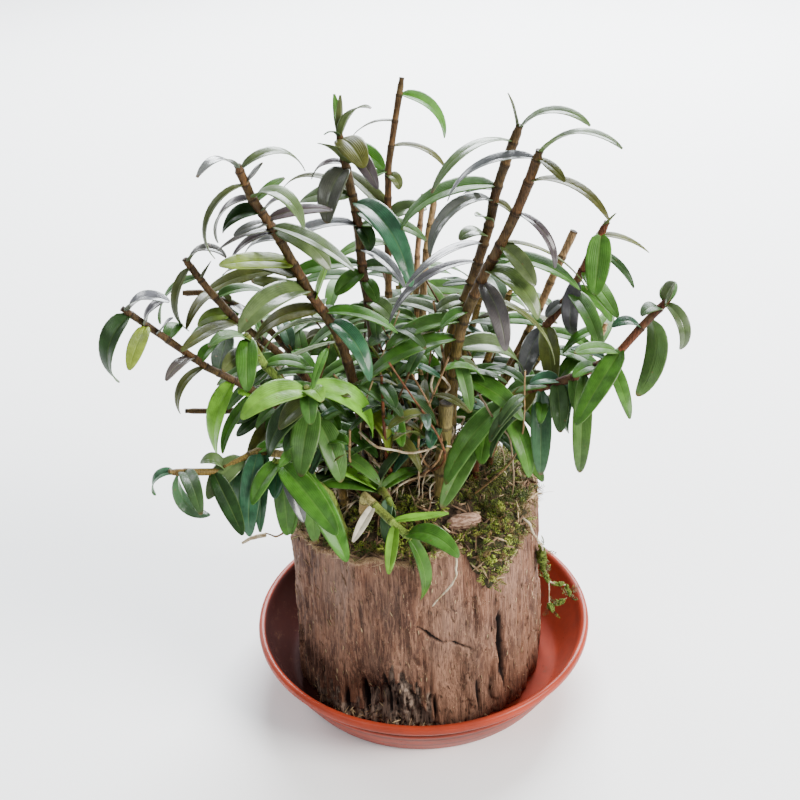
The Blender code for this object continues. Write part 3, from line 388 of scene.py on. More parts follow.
def leaf_tries():
    turns = [(0, 0)]
    for size in (5, 10, 16, 24, 34, 46):
        turns += [(size, 0), (-size, 0), (0, size), (0, -size), (size, size), (-size, size), (size, -size),
                  (-size, -size)]
    return [(heading, rise, share) for share in (1, 0.85, 0.7, 0.55) for heading, rise in turns]


LEAF_TRIES = leaf_tries()


class Spine:
    """The middle line of a leaf's blade, with its directions at every station along it."""

    STEP = 0.02

    def __init__(self, leaf, root):
        heading = math.radians(leaf.heading)
        self.leaf = leaf
        self.up = Vector((0, 0, 1))
        self.along = level(heading)
        aside = Vector((-self.along.y, self.along.x, 0))
        self.across = (aside + self.up * math.tan(math.radians(leaf.roll)) * aside.y).normalized()
        self.length = leaf.length * MM
        self.widest = leaf.width * MM
        self.root = root

    def heading_at(self, share):
        angle = math.radians(self.leaf.rise - self.leaf.bend * share ** 1.2)
        return self.along * math.cos(angle) + self.up * math.sin(angle)

    def normal_at(self, share):
        return self.heading_at(share).cross(self.across).normalized()

    def points(self, stations):
        point = self.root.copy()
        done = 0.0
        found = []
        for station in stations:
            while done < station - 1e-6:
                step = min(self.STEP, station - done)
                point = point + self.heading_at(done + step / 2) * self.length * step
                done += step
            found.append(point.copy())
        return found

    def half_width(self, share):
        width = self.widest * math.sin(math.pi * share ** 0.85) ** BLADE_FULLNESS
        return max(BLADE_ROOT_WIDTH * 0.8, width) / 2


def planted_leaves(cane, way):
    """The leaves as the part has them: each takes the first turn and length whose tip is in the node."""
    mesh = NODES[cane.name].data
    tree = KDTree(len(mesh.vertices))
    for number, vertex in enumerate(mesh.vertices):
        tree.insert(vertex.co, number)
    tree.balance()
    stops = ring_distances(cane, way)
    leaves = []
    for number, numbers in enumerate(cane.leaves):
        leaf = Leaf(*numbers)
        root = axis_point(way, stops, min(leaf.place / 100 * way.length, way.length - 3 * MM))
        for heading, rise, share in LEAF_TRIES:
            tried = leaf._replace(heading=leaf.heading + heading, rise=leaf.rise + rise,
                                  length=leaf.length * share)
            spine = Spine(tried, root)
            tip = spine.points((0.2, 0.55, 1.0) if tried.length <= 38 else (0.14, 0.38, 0.68, 1.0))[-1]
            _, _, apart = tree.find(tip + spine.normal_at(1.0) * BLADE_THICKNESS / 2)
            if apart < 0.06 * MM:
                spine.number = number
                leaves.append(spine)
                break
    return leaves


# Nodes: sockets that take part in sums, and what nodes are laid out on

class Value:
    """A socket of a node. An operator on it adds the Math node that works it out."""

    def __init__(self, layout, socket):
        self.layout = layout
        self.socket = socket

    def other(self, name):
        """Another output of the same node."""
        return Value(self.layout, self.socket.node.outputs[name])

    def math(self, operation, first, second):
        return self.layout.node("ShaderNodeMath", {"operation": operation}, {0: first, 1: second})

    def __add__(self, other):
        return self.math("ADD", self, other)

    def __sub__(self, other):
        return self.math("SUBTRACT", self, other)

    def __rsub__(self, other):
        return self.math("SUBTRACT", other, self)

    def __mul__(self, other):
        return self.math("MULTIPLY", self, other)

    __radd__ = __add__
    __rmul__ = __mul__

    def size(self):
        return self.math("ABSOLUTE", self, 0.0)

    def wave(self):
        return self.math("SINE", self, 0.0)

    def ramp(self, low, high, start=0.0, stop=1.0):
        """Smoothly from start to stop as the value goes from low to high."""
        settings = {"interpolation_type": "SMOOTHSTEP"}
        return self.layout.node("ShaderNodeMapRange", settings, {0: self, 1: low, 2: high, 3: start, 4: stop})


class Layout:
    """The nodes of one material or one tree."""

    def __init__(self, group):
        self.nodes = group.nodes
        self.links = group.links

    def node(self, kind, settings, inputs, output=0):
        """Add a node: its settings first, then the values or links of its sockets. Gives one output."""
        made = self.nodes.new(kind)
        for name, setting in settings.items():
            setattr(made, name, setting)
        self.fill(made, inputs)
        return Value(self, made.outputs[output])

    def fill(self, made, inputs):
        for name, given in inputs.items():
            if isinstance(given, Value):
                self.links.new(given.socket, made.inputs[name])
            else:
                made.inputs[name].default_value = given


class Sheet(Layout):
    """One material: its nodes, its surface and its coordinates."""

    def __init__(self, name):
        self.material = bpy.data.materials.new(name)
        self.material.use_nodes = True
        super().__init__(self.material.node_tree)
        self.shader = next(node for node in self.nodes if node.type == "BSDF_PRINCIPLED")
        self.place = self.node("ShaderNodeTexCoord", {}, {}, "Object")

    def noise(self, size, detail=3.0, rough=0.55, twist=0.0, stretch=None):
        """Fractal noise with features of about the given size in metres, from 0 to 1."""
        where = self.place
        if stretch:
            where = self.node("ShaderNodeMapping", {}, {"Vector": where, "Scale": stretch})
        inputs = {"Vector": where, "Scale": 1 / size, "Detail": detail, "Roughness": rough,
                  "Distortion": twist}
        return self.node("ShaderNodeTexNoise", {}, inputs)

    def cells(self, size, output="Distance"):
        return self.node("ShaderNodeTexVoronoi", {}, {"Vector": self.place, "Scale": 1 / size}, output)

    def split(self, axis):
        """One of the three coordinates of a place."""
        return self.node("ShaderNodeSeparateXYZ", {}, {"Vector": self.place}, axis)

    def attribute(self, name):
        return self.node("ShaderNodeAttribute", {"attribute_name": name}, {}, "Fac")

    def blend(self, way, share, first, second):
        settings = {"data_type": "RGBA", "blend_type": way, "clamp_factor": True}
        return self.node("ShaderNodeMix", settings, {0: share, 6: opaque(first), 7: opaque(second)}, 2)

    def mix(self, share, first, second):
        """A colour between two, by a share from 0 to 1."""
        return self.blend("MIX", share, first, second)

    def layers(self, colour, *coats):
        """A colour under several coats, each with its share from 0 to 1 and its own colour."""
        for share, coat in coats:
            colour = self.mix(share, colour, coat)
        return colour

    def shade(self, colour, factor):
        """A colour made darker or lighter by a factor."""
        grey = self.node("ShaderNodeCombineColor", {}, {0: factor, 1: factor, 2: factor})
        return self.blend("MULTIPLY", 1.0, colour, grey)

    def bump(self, height, depth):
        """A normal from a height between 0 and 1, as deep as given in metres."""
        inputs = {"Height": height, "Distance": depth, "Strength": 1.0}
        return self.node("ShaderNodeBump", {}, inputs, "Normal")

    def finish(self, **sockets):
        """Set or link the surface's sockets, named with underscores for spaces."""
        self.fill(self.shader, {name.replace("_", " "): opaque(given) for name, given in sockets.items()})
        return self.material


def opaque(given):
    """A colour's three parts as the four that a socket takes; anything else as it is."""
    return given if isinstance(given, (Value, int, float)) else (*given, 1.0)


# Heights of the saucer's groove lines, in millimetres, where dark bands of painted shade run round its
# outside
SAUCER_GROOVES = (8.2, 15.4, 20.2)


def saucer_finish(looks):
    """Satin moulded plastic with a little grime, water marks, specks of dirt and painted shade."""
    sheet = Sheet("saucer plastic")
    broad = sheet.noise(28 * MM, 4, 0.6)
    fine = sheet.noise(1.6 * MM, 3, 0.6)
    grime = (sheet.noise(11 * MM, 6, 0.7, 0.6) * 0.7 + fine * 0.3).ramp(0.55, 0.72)
    specks = sheet.cells(3.1 * MM).ramp(0.13, 0.05) * sheet.noise(9 * MM, 2).ramp(0.56, 0.66)
    low = sheet.attribute("inside")
    across, height = sheet.split("X"), sheet.split("Z")
    # Painted shade: dark bands at the groove lines on the outside
    bands = [(height - groove * MM).size().ramp(1.2 * MM, 0.3 * MM) for groove in SAUCER_GROOVES]
    groove_shade = (bands[0] + bands[1] + bands[2]) * (1.0 - low)
    # Painted shade: the inside darkens towards its left, where the log's shadow falls
    shade = low * across.ramp(-10 * MM, -66 * MM)
    wall = low * height.ramp(2.6 * MM, 6 * MM) * height.ramp(27 * MM, 23 * MM)
    colour = sheet.layers(
        looks.saucer_colour,
        (broad.ramp(0.3, 0.7), looks.saucer_shade),
        (groove_shade * 0.8, (0.060, 0.009, 0.005)),
        (shade * 0.92, (0.024, 0.006, 0.005)),
        (grime * 0.22, (0.24, 0.11, 0.07)),
        (low * grime * 0.8, (0.10, 0.045, 0.025)),
        (specks * (0.35 + 0.65 * low), (0.03, 0.018, 0.012)),
    )
    rough = 0.36 + 0.10 * broad + 0.20 * grime + 0.3 * specks + 0.30 * low
    relief = fine * 0.5 + specks * 2.0 + sheet.noise(9 * MM, 2) * 0.8
    coat = 0.10 * (1.0 - low) + 0.55 * wall
    return sheet.finish(Base_Color=colour, Roughness=rough, Normal=sheet.bump(relief, 0.09 * MM),
                        Specular_IOR_Level=0.13, Coat_Weight=coat, Coat_Roughness=0.2)


def bark_finish(looks):
    """Old fibrous bark, grained along the log: painted shade in cracks, tan where fibres lift, grey with
    weather.
    """
    sheet = Sheet("weathered bark")
    grain = sheet.noise(1.1 * MM, 5, 0.65, 0.4, (1, 1, 0.10))
    strands = sheet.noise(0.40 * MM, 3, 0.6, 0.6, (1, 1, 0.05))
    patches = sheet.noise(17 * MM, 4, 0.55, 0.5, (1, 1, 0.5))
    weather = sheet.noise(24 * MM, 3, 0.5, 0.0, (1, 1, 0.35)).ramp(0.42, 0.66)
    flecks = sheet.noise(1.3 * MM, 4, 0.7, 1.6, (1, 1, 0.5)).ramp(0.62, 0.70)
    moulder, crevice, wood = sheet.attribute("moulder"), sheet.attribute("crevice"), sheet.attribute("wood")
    rotten = sheet.mix(grain.ramp(0.35, 0.6), (0.040, 0.029, 0.021), (0.250, 0.185, 0.140))
    torn = sheet.mix(strands.ramp(0.35, 0.6), (0.12, 0.055, 0.030), (0.46, 0.30, 0.16))
    colour = sheet.layers(
        looks.bark_dark,
        (patches.ramp(0.35, 0.65), looks.bark_light),
        (weather * 0.4, (0.28, 0.165, 0.110)),
        (grain.ramp(0.46, 0.62) * 0.6, (0.30, 0.155, 0.095)),
        (strands.ramp(0.50, 0.40) * 0.75, (0.030, 0.012, 0.008)),
        (flecks * 0.75, (0.50, 0.33, 0.19)),
        (moulder * 0.85, rotten),
        (wood, torn),
        # Painted shade in cracks, furrows, rotten hollows and the log's hollow
        (crevice.ramp(0.1, 0.8), (0.010, 0.005, 0.004)),
    )
    height = grain * 0.5 + strands * 0.4 + flecks * 0.4 + sheet.noise(0.5 * MM, 3) * 0.15
    return sheet.finish(Base_Color=colour, Roughness=0.84 - 0.12 * weather, Specular_IOR_Level=0.28,
                        Normal=sheet.bump(height, 0.5 * MM))


def bed_finish():
    """Dark, damp bark mix with paler crumbs."""
    sheet = Sheet("bark mix")
    lumps = sheet.noise(2.8 * MM, 5, 0.65, 0.5)
    crumbs = sheet.cells(2.2 * MM, "Color")
    fibres = sheet.noise(0.7 * MM, 4, 0.6, 2.0)
    moss = sheet.attribute("moss")
    colour = sheet.layers(
        (0.012, 0.008, 0.005),
        (lumps.ramp(0.35, 0.7), (0.058, 0.035, 0.020)),
        (crumbs.ramp(0.6, 0.9) * 0.5, (0.15, 0.095, 0.055)),
        (fibres.ramp(0.6, 0.75) * 0.5, (0.20, 0.13, 0.075)),
        (moss * fibres.ramp(0.35, 0.6) * 0.7, (0.026, 0.031, 0.007)),
    )
    tuft = sheet.mix(fibres.ramp(0.42, 0.56), (0.014, 0.022, 0.005), (0.150, 0.205, 0.030))
    colour = sheet.mix(moss.ramp(1.2, 1.8), colour, tuft)
    height = lumps + fibres * 0.5
    return sheet.finish(Base_Color=colour, Roughness=0.9, Specular_IOR_Level=0.2,
                        Normal=sheet.bump(height, 1.1 * MM))


def moss_finish(looks):
    """Feathery moss: yellow-green at the tips, brown where it is old, with painted shade at the back under
    the canes.
    """
    sheet = Sheet("feather moss")
    tip = sheet.attribute("tip")
    chance = sheet.attribute("chance")
    patches = sheet.noise(7 * MM, 3, 0.6)
    # Painted shade: the moss darkens towards the back, under the canes
    deep = sheet.split("Y").ramp(-46 * MM, -20 * MM)
    colour = sheet.layers(
        (0.007, 0.009, 0.002),
        (tip.ramp(0.15, 0.95), looks.moss_colour),
        (patches.ramp(0.42, 0.55) * 0.85, (0.030, 0.048, 0.006)),
        (chance.ramp(0.66, 0.80) * 0.85, (0.17, 0.10, 0.035)),
        (chance.ramp(0.3, 0.05) * tip * patches.ramp(0.56, 0.44), (0.56, 0.62, 0.10)),
        (deep * 0.55, (0.022, 0.030, 0.005)),
    )
    return sheet.finish(Base_Color=colour, Roughness=0.6, Specular_IOR_Level=0.25,
                        Normal=sheet.bump(sheet.noise(0.4 * MM, 2), 0.1 * MM))


def litter_finish():
    """Slivers of bark and dead stem, brown to straw."""
    sheet = Sheet("bark litter")
    chance = sheet.attribute("chance")
    grain = sheet.noise(0.7 * MM, 4, 0.6, 0.6)
    colour = sheet.layers(
        (0.045, 0.024, 0.014),
        (chance.ramp(0.0, 0.7), (0.23, 0.14, 0.08)),
        (chance.ramp(0.75, 0.9), (0.46, 0.34, 0.19)),
        (grain.ramp(0.5, 0.7) * 0.5, (0.30, 0.20, 0.12)),
    )
    return sheet.finish(Base_Color=colour, Roughness=0.85, Specular_IOR_Level=0.25,
                        Normal=sheet.bump(grain, 0.3 * MM))


def chip_finish():
    """A broken piece of bark, pinkish brown with torn, pale edges."""
    sheet = Sheet("bark chip")
    layers = sheet.noise(1.3 * MM, 5, 0.65, 0.5, (0.35, 0.6, 1.6))
    pits = sheet.noise(0.8 * MM, 3, 0.7)
    colour = sheet.layers(
        (0.16, 0.085, 0.055),
        (layers.ramp(0.4, 0.62), (0.46, 0.29, 0.20)),
        (pits.ramp(0.42, 0.30), (0.05, 0.028, 0.02)),
    )
    return sheet.finish(Base_Color=colour, Roughness=0.85, Specular_IOR_Level=0.25,
                        Normal=sheet.bump(layers + pits * 0.5, 0.7 * MM))


def root_finish():
    """Aerial roots: white felt that browns with age, with green living tips."""
    sheet = Sheet("root felt")
    along, chance = sheet.attribute("along"), sheet.attribute("chance")
    stains = sheet.noise(4 * MM, 4, 0.6)
    colour = sheet.layers(
        (0.50, 0.43, 0.31),
        (stains.ramp(0.38, 0.62), (0.26, 0.18, 0.095)),
        (chance.ramp(0.45, 0.75), (0.15, 0.09, 0.045)),
        (along.ramp(0.93, 0.98) * chance.ramp(0.4, 0.2), (0.16, 0.24, 0.06)),
    )
    return sheet.finish(Base_Color=colour, Roughness=0.8, Specular_IOR_Level=0.3,
                        Normal=sheet.bump(sheet.noise(0.5 * MM, 3), 0.15 * MM))


def orchid_finish(looks):
    """Stems and blades in one: the leaf attribute tells them apart, three more carry the base colour."""
    sheet = Sheet("orchid stems and leaves")
    leaf, across, along = sheet.attribute("leaf"), sheet.attribute("across"), sheet.attribute("along")
    silver, under, chance = sheet.attribute("silver"), sheet.attribute("under"), sheet.attribute("chance")
    tone = sheet.node("ShaderNodeCombineColor", {}, {0: sheet.attribute("red"), 1: sheet.attribute("green"),
                                                     2: sheet.attribute("blue")})
    side = across.size()
    clouds = sheet.noise(7 * MM, 3, 0.55)
    fine = sheet.noise(0.6 * MM, 3, 0.6)
    veins = (side * 42.0 + clouds * 1.4).wave()
    rib = side.ramp(0.10, 0.02) * along.ramp(0.97, 0.80)

    blade = sheet.shade(tone, clouds.ramp(0.3, 0.7, 0.68, 1.30))
    blade = sheet.layers(
        blade,
        (chance.ramp(0.5, 1.0) * clouds * 0.5, looks.leaf_bloom),
        (side.ramp(0.86, 1.0) * 0.22, looks.leaf_edge),
        (rib * 0.18, looks.leaf_edge),
        (under * 0.3, looks.leaf_under),
    )
    blade = sheet.shade(blade, 1.0 + veins * 0.06 + fine * 0.2 - 0.1)
    spots = sheet.noise(2.2 * MM, 2, 0.5).ramp(0.70, 0.76) * chance.ramp(0.25, 0.45)
    browned = along.ramp(0.94, 1.0) * chance.ramp(0.6, 0.9) * 0.8
    blade = sheet.mix(spots * 0.6 + browned, blade, (0.11, 0.06, 0.024))

    ring = along.ramp(0.12, 0.02) + along.ramp(0.91, 0.98)
    streaks = sheet.noise(0.5 * MM, 3, 0.6, 0.3, (1, 1, 0.12))
    stem = sheet.shade(tone, streaks.ramp(0.38, 0.62, 0.62, 1.5) * along.ramp(0.05, 0.55, 1.25, 0.85))
    stem = sheet.mix(clouds.ramp(0.52, 0.70) * 0.4, stem, looks.cane_patch)
    stem = sheet.shade(stem, 1.0 - ring * 0.72)

    colour = sheet.mix(leaf, stem, blade)
    blade_rough = 0.40 + 0.12 * clouds + 0.2 * under - 0.12 * silver
    rough = leaf * blade_rough + (1.0 - leaf) * (0.44 + 0.15 * streaks)
    blade_height = (veins * 0.5 + 0.5) * 0.35 - rib * 0.9 + clouds * 1.6 + fine * 0.2
    height = leaf * blade_height + (1.0 - leaf) * (streaks * 1.2 + fine * 0.4)
    return sheet.finish(Base_Color=colour, Roughness=rough, Specular_IOR_Level=0.14,
                        Coat_Weight=leaf * (0.02 + 0.6 * silver), Coat_Roughness=0.17,
                        Normal=sheet.bump(height, 0.16 * MM))


# Meshes

def turns(count):
    """Directions at even steps round a circle."""
    return [math.tau * number / count for number in range(count)]


class Build:
    """A mesh under construction: points, faces and one number for each attribute at every point."""

    def __init__(self, *attributes):
        self.points = []
        self.faces = []
        self.values = {name: [] for name in attributes}

    def point(self, place, **values):
        self.points.append(tuple(place))
        for name, numbers in self.values.items():
            numbers.append(values.get(name, 0.0))
        return len(self.points) - 1

    def grid(self, rows, closed=True):
        """Join rows of point numbers, of the same count each, with quads; closed rows run round."""
        for low, high in zip(rows, rows[1:]):
            pairs = list(zip(low, low[1:] + low[:1], high[1:] + high[:1], high))
            self.faces += pairs if closed else pairs[:-1]

    def fan(self, ring, middle, flip=False):
        pairs = list(zip(ring, ring[1:] + ring[:1]))
        self.faces += [(b, a, middle) if flip else (a, b, middle) for a, b in pairs]

    def body(self, rings, low, high, **values):
        """Join rings and close both ends with a point in the middle. The values are the second point's."""
        self.grid(rings)
        self.fan(rings[0], self.point(low), flip=True)
        self.fan(rings[-1], self.point(high, **values))

    def mesh(self, name):
        made = bpy.data.meshes.new(name)
        made.from_pydata(self.points, [], self.faces)
        for attribute, numbers in self.values.items():
            made.attributes.new(attribute, "FLOAT", "POINT").data.foreach_set("value", numbers)
        made.polygons.foreach_set("use_smooth", [True] * len(made.polygons))
        made.update()
        return made

    def piece(self, name, material, outwards=True):
        made = placed(name, self.mesh(name))
        if outwards:
            turn_outwards(made.data)
        made.data.materials.append(material)
        return made


def placed(name, data):
    """A new object in the scene from a mesh, a lamp or a camera."""
    made = bpy.data.objects.new(name, data)
    bpy.context.scene.collection.objects.link(made)
    return made


def turn_outwards(mesh):
    work = bmesh.new()
    work.from_mesh(mesh)
    bmesh.ops.recalc_face_normals(work, faces=work.faces)
    work.to_mesh(mesh)
    work.free()


def joined(name, pieces, material):
    """One object from several, with their attributes side by side and one material."""
    first = pieces[0]
    if len(pieces) > 1:
        with bpy.context.temp_override(active_object=first, object=first, selected_objects=pieces,
                                       selected_editable_objects=pieces):
            if bpy.ops.object.join() != {"FINISHED"}:
                raise RuntimeError(f"{name} couldn't be joined")
    first.name = name
    first.data.name = name
    first.data.materials.clear()
    first.data.materials.append(material)
    first.data.polygons.foreach_set("material_index", [0] * len(first.data.polygons))
    return first


def settle(piece, slot, *nodes):
    """Attach a finished piece to the one body and hide the nodes that it stands for. The slot is not used."""
    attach(piece, BODY)
    if nodes:
        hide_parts(*nodes)


# Geometry Nodes: what the trees share, and the trees

class Tree(Layout):
    """A Geometry Nodes tree with named inputs, ending in real geometry with a material."""

    def __init__(self, name, **inputs):
        self.group = bpy.data.node_groups.new(name, "GeometryNodeTree")
        super().__init__(self.group)
        face = self.group.interface
        for label, given in {"Geometry": "Geometry", "Material": "Material", **inputs}.items():
            kind = {float: "Float", int: "Int"}.get(type(given), given)
            socket = face.new_socket(label.replace("_", " "), in_out="INPUT", socket_type=f"NodeSocket{kind}")
            if kind != given:
                socket.default_value = given
        face.new_socket("Geometry", in_out="OUTPUT", socket_type="NodeSocketGeometry")
        self.inside = self.nodes.new("NodeGroupInput")
        self.outside = self.nodes.new("NodeGroupOutput")

    def given(self, label):
        return Value(self, self.inside.outputs[label])

    def named(self, attribute):
        settings = {"data_type": "FLOAT"}
        return self.node("GeometryNodeInputNamedAttribute", settings, {"Name": attribute}, "Attribute")

    def chance(self, low, high, seed):
        """A random number between two, one for each copy."""
        settings = {"data_type": "FLOAT"}
        return self.node("FunctionNodeRandomValue", settings, {2: low, 3: high, "Seed": seed}, 1)

    def end(self, geometry):
        real = self.node("GeometryNodeRealizeInstances", {}, {"Geometry": geometry})
        inputs = {"Geometry": real, "Material": self.given("Material")}
        self.fill(self.outside, {"Geometry": self.node("GeometryNodeSetMaterial", {}, inputs)})
        return self

    def grow(self, name, carrier, **values):
        """Run the tree on a carrier object, keep the result as a plain mesh, and remove the carrier."""
        modifier = carrier.modifiers.new("grow", "NODES")
        modifier.node_group = self.group
        for item in self.group.interface.items_tree:
            label = item.name.replace(" ", "_")
            if item.in_out == "INPUT" and label in values:
                modifier[item.identifier] = values[label]
        bpy.context.view_layer.update()
        graph = bpy.context.evaluated_depsgraph_get()
        mesh = bpy.data.meshes.new_from_object(carrier.evaluated_get(graph), depsgraph=graph)
        carrier.modifiers.remove(modifier)
        bpy.data.objects.remove(carrier)
        mesh.name = name
        return placed(name, mesh)


def scatter_tree():
    """Copies of a small shape over a surface, leaning from its normal, where a density attribute says."""
    tree = Tree("scatter over a surface", Shape="Object", Per_Square_Metre=1e5, Least_Size=0.7, Most_Size=1.2,
                Lean=0.6, Turn=math.pi, Upright=0.0, Lift=0.0, Seed=1)
    lean, turn, seed = tree.given("Lean"), tree.given("Turn"), tree.given("Seed")
    thick = tree.named("density") * tree.given("Per Square Metre")
    dots = tree.node("GeometryNodeDistributePointsOnFaces", {"distribute_method": "RANDOM"},
                     {"Mesh": tree.given("Geometry"), "Density": thick, "Seed": seed})
    low = tree.node("ShaderNodeCombineXYZ", {}, {"X": lean * -1.0, "Y": lean * -1.0, "Z": turn * -1.0})
    high = tree.node("ShaderNodeCombineXYZ", {}, {"X": lean, "Y": lean, "Z": turn})
    leant = tree.node("FunctionNodeRandomValue", {"data_type": "FLOAT_VECTOR"},
                      {"Min": low, "Max": high, "Seed": seed})
    stood = tree.node("FunctionNodeAlignRotationToVector", {"axis": "X", "pivot_axis": "Z"},
                      {"Rotation": dots.other("Rotation"), "Factor": tree.given("Upright"),
                       "Vector": (0, 0, 1)})
    size = tree.chance(tree.given("Least Size"), tree.given("Most Size"), seed)
    shape = tree.node("GeometryNodeObjectInfo", {}, {"Object": tree.given("Shape")}, "Geometry")
    copies = tree.node("GeometryNodeInstanceOnPoints", {},
                       {"Points": dots, "Instance": shape, "Rotation": stood, "Scale": size})
    copies = tree.node("GeometryNodeRotateInstances", {}, {"Instances": copies, "Rotation": leant})
    raised = tree.node("ShaderNodeCombineXYZ", {}, {"Z": tree.given("Lift")})
    copies = tree.node("GeometryNodeTranslateInstances", {}, {"Instances": copies, "Translation": raised})
    kept = tree.node("GeometryNodeStoreNamedAttribute", {"data_type": "FLOAT", "domain": "INSTANCE"},
                     {"Geometry": copies, "Name": "chance", "Value": tree.chance(0.0, 1.0, 7)})
    return tree.end(kept)


def tube_tree():
    """A round tube along every path, as thick as its radius attribute says and roughened a little."""
    tree = Tree("tube along paths", Sides=8, Rough=0.0, Grain=400.0)
    paths = tree.node("GeometryNodeMeshToCurve", {}, {"Mesh": tree.given("Geometry")})
    radius = tree.named("radius")
    sized = tree.node("GeometryNodeSetCurveRadius", {}, {"Curve": paths, "Radius": radius})
    ring = tree.node("GeometryNodeCurvePrimitiveCircle", {},
                     {"Resolution": tree.given("Sides"), "Radius": 1.0})
    skin = tree.node("GeometryNodeCurveToMesh", {},
                     {"Curve": sized, "Profile Curve": ring, "Scale": radius, "Fill Caps": True})
    lumps = tree.node("ShaderNodeTexNoise", {}, {"Scale": tree.given("Grain"), "Detail": 2.0})
    normal = tree.node("GeometryNodeInputNormal", {}, {})
    push = tree.node("ShaderNodeVectorMath", {"operation": "SCALE"},
                     {0: normal, "Scale": (lumps - 0.5) * tree.given("Rough")})
    moved = tree.node("GeometryNodeSetPosition", {}, {"Geometry": skin, "Offset": push})
    return tree.end(tree.node("GeometryNodeSetShadeSmooth", {}, {"Geometry": moved}))


def paths_object(name, paths):
    """An object of open paths for the tube tree: each is a list of (place, radius, other values)."""
    mesh = bpy.data.meshes.new(name)
    points, edges = [], []
    columns = {"radius": []}
    for path in paths:
        start = len(points)
        for place, radius, values in path:
            points.append(tuple(place))
            columns["radius"].append(radius)
            for label, value in values.items():
                columns.setdefault(label, []).append(value)
        edges += [(number, number + 1) for number in range(start, len(points) - 1)]
    mesh.from_pydata(points, edges, [])
    for label, numbers in columns.items():
        mesh.attributes.new(label, "FLOAT", "POINT").data.foreach_set("value", numbers)
    return placed(name, mesh)


# Saucer

SAUCER_SEGMENTS = 200
# Radius and height in millimetres, from the foot's edge up the outside, over the lip and down the inside
SAUCER_PROFILE = (
    (70, 0), (71.3, 0.25), (72, 0.9), (75.8, 7.0), (79.5, 13.0), (81.3, 17.4), (82.0, 17.9), (82.45, 18.7),
    (82.4, 19.8), (82.0, 20.3), (82.4, 20.9), (83.2, 21.2), (83.7, 21.9), (83.7, 23.2), (83.2, 23.7),
    (83.6, 24.3), (85.6, 24.9), (87.2, 25.4), (87.9, 26.4), (88.05, 27.8), (87.8, 29.1), (87.1, 29.9),
    (86.2, 30.2), (85.2, 29.9), (84.3, 29.1), (83.7, 27.8), (83.1, 25.2), (82.3, 22.0), (80.6, 17.5),
    (78.4, 13.0), (75.7, 8.0), (73.4, 4.7), (72.0, 3.1), (70.4, 2.35), (68, 2.2),
)
FIRST_INSIDE = 24


def make_saucer(looks):
    """The moulding, turned from its profile."""
    build = Build("inside")
    rows = []
    for number, (radius, z) in enumerate(SAUCER_PROFILE):
        inside = 1.0 if number >= FIRST_INSIDE else 0.0
        rows.append([build.point((radius * MM * math.cos(turn), radius * MM * math.sin(turn), z * MM),
                                 inside=inside) for turn in turns(SAUCER_SEGMENTS)])
    build.body(rows, (0, 0, 0), (0, 0, SAUCER_WALL), inside=1.0)
    settle(build.piece("saucer_moulding", saucer_finish(looks)), "saucer", "saucer")


# Log

BARK_COLUMNS = 460
BARK_ROWS = 168
# Cracks in the bark: direction in degrees at the low and the high end, then in millimetres the heights of
# those ends, half the width and the depth
CRACKS = (
    (-49.5, -50.5, 26, 68, 1.5, 4.6), (-47.5, -48.5, 14, 34, 0.8, 2.6), (-63, -64.5, 10, 34, 0.9, 3.0),
    (-66, -79, 52, 61, 0.8, 2.4), (-79, -92, 60, 72, 0.9, 2.8), (-105, -107, 14, 42, 1.1, 3.2),
    (-118, -119, 8, 30, 1.3, 3.6), (-128, -127, 6, 24, 1.0, 2.6), (-150, -148, 30, 70, 0.6, 1.4),
    (-20, -18, 20, 62, 0.9, 2.2), (-84, -84.5, 12, 30, 0.7, 2.2), (35, 38, 20, 80, 0.9, 2.4),
    (92, 90, 12, 58, 1.0, 2.8), (140, 143, 34, 88, 0.8, 2.2), (178, 181, 14, 54, 1.1, 2.6),
    (-168, -170, 60, 92, 0.6, 1.5), (66, 64, 50, 92, 0.6, 1.6), (115, 118, 10, 36, 1.2, 3.0),
)
# Radius at which the noise of the bark is read, and the length of one degree round the bark, in millimetres
NOISE_RADIUS = 63
ARC_OF_DEGREE = math.radians(64)
# Rotten stretch at the foot: from and to in degrees, its height, and where and how far it reaches higher
ROT_FROM, ROT_TO, ROT_HEIGHT, ROT_PEAK, ROT_PEAK_HEIGHT = -152, -80, 20, -99, 27
# Rings over the torn rim: how far in from the bark and above the rim in millimetres, and how torn
RIM_RINGS = ((0.8, 0.35, 0.9), (2.2, 0.5, 0.6), (4.0, 0.2, 0.4), (6.2, 0.3, 0.3), (8.4, 0.0, 0.2))
CAVITY_MIDDLE_Z = 60 * MM
CAVITY_FLOOR_Z = 20 * MM


def ripple(x, y, z):
    """Smooth noise about 0 at a place."""
    return noise.noise(Vector((x, y, z)))


def step_between(value, low, high):
    """Smoothly from 0 to 1 as a value goes from low to high."""
    share = min(1.0, max(0.0, (value - low) / (high - low)))
    return share * share * (3 - 2 * share)


def crack_depth(degrees, z):
    """How deep the cracks cut at a place on the bark, in millimetres."""
    deepest = 0.0
    for low_turn, high_turn, low, high, half, depth in CRACKS:
        if not low - 6 < z < high + 6:
            continue
        share = min(1.0, max(0.0, (z - low) / (high - low)))
        middle = low_turn + (high_turn - low_turn) * share
        middle += 0.9 * ripple(low_turn, z * 0.09, 3.1)
        apart = abs((degrees - middle + 180) % 360 - 180) * ARC_OF_DEGREE
        ends = step_between(z, low - 4, low + 5) * step_between(z, high + 4, high - 8)
        width = half * (0.55 + 0.45 * math.sin(math.pi * share)) + 0.25
        if apart < width * 1.6:
            deepest = max(deepest, depth * ends * (1 - step_between(apart, width * 0.35, width * 1.6)))
    return deepest


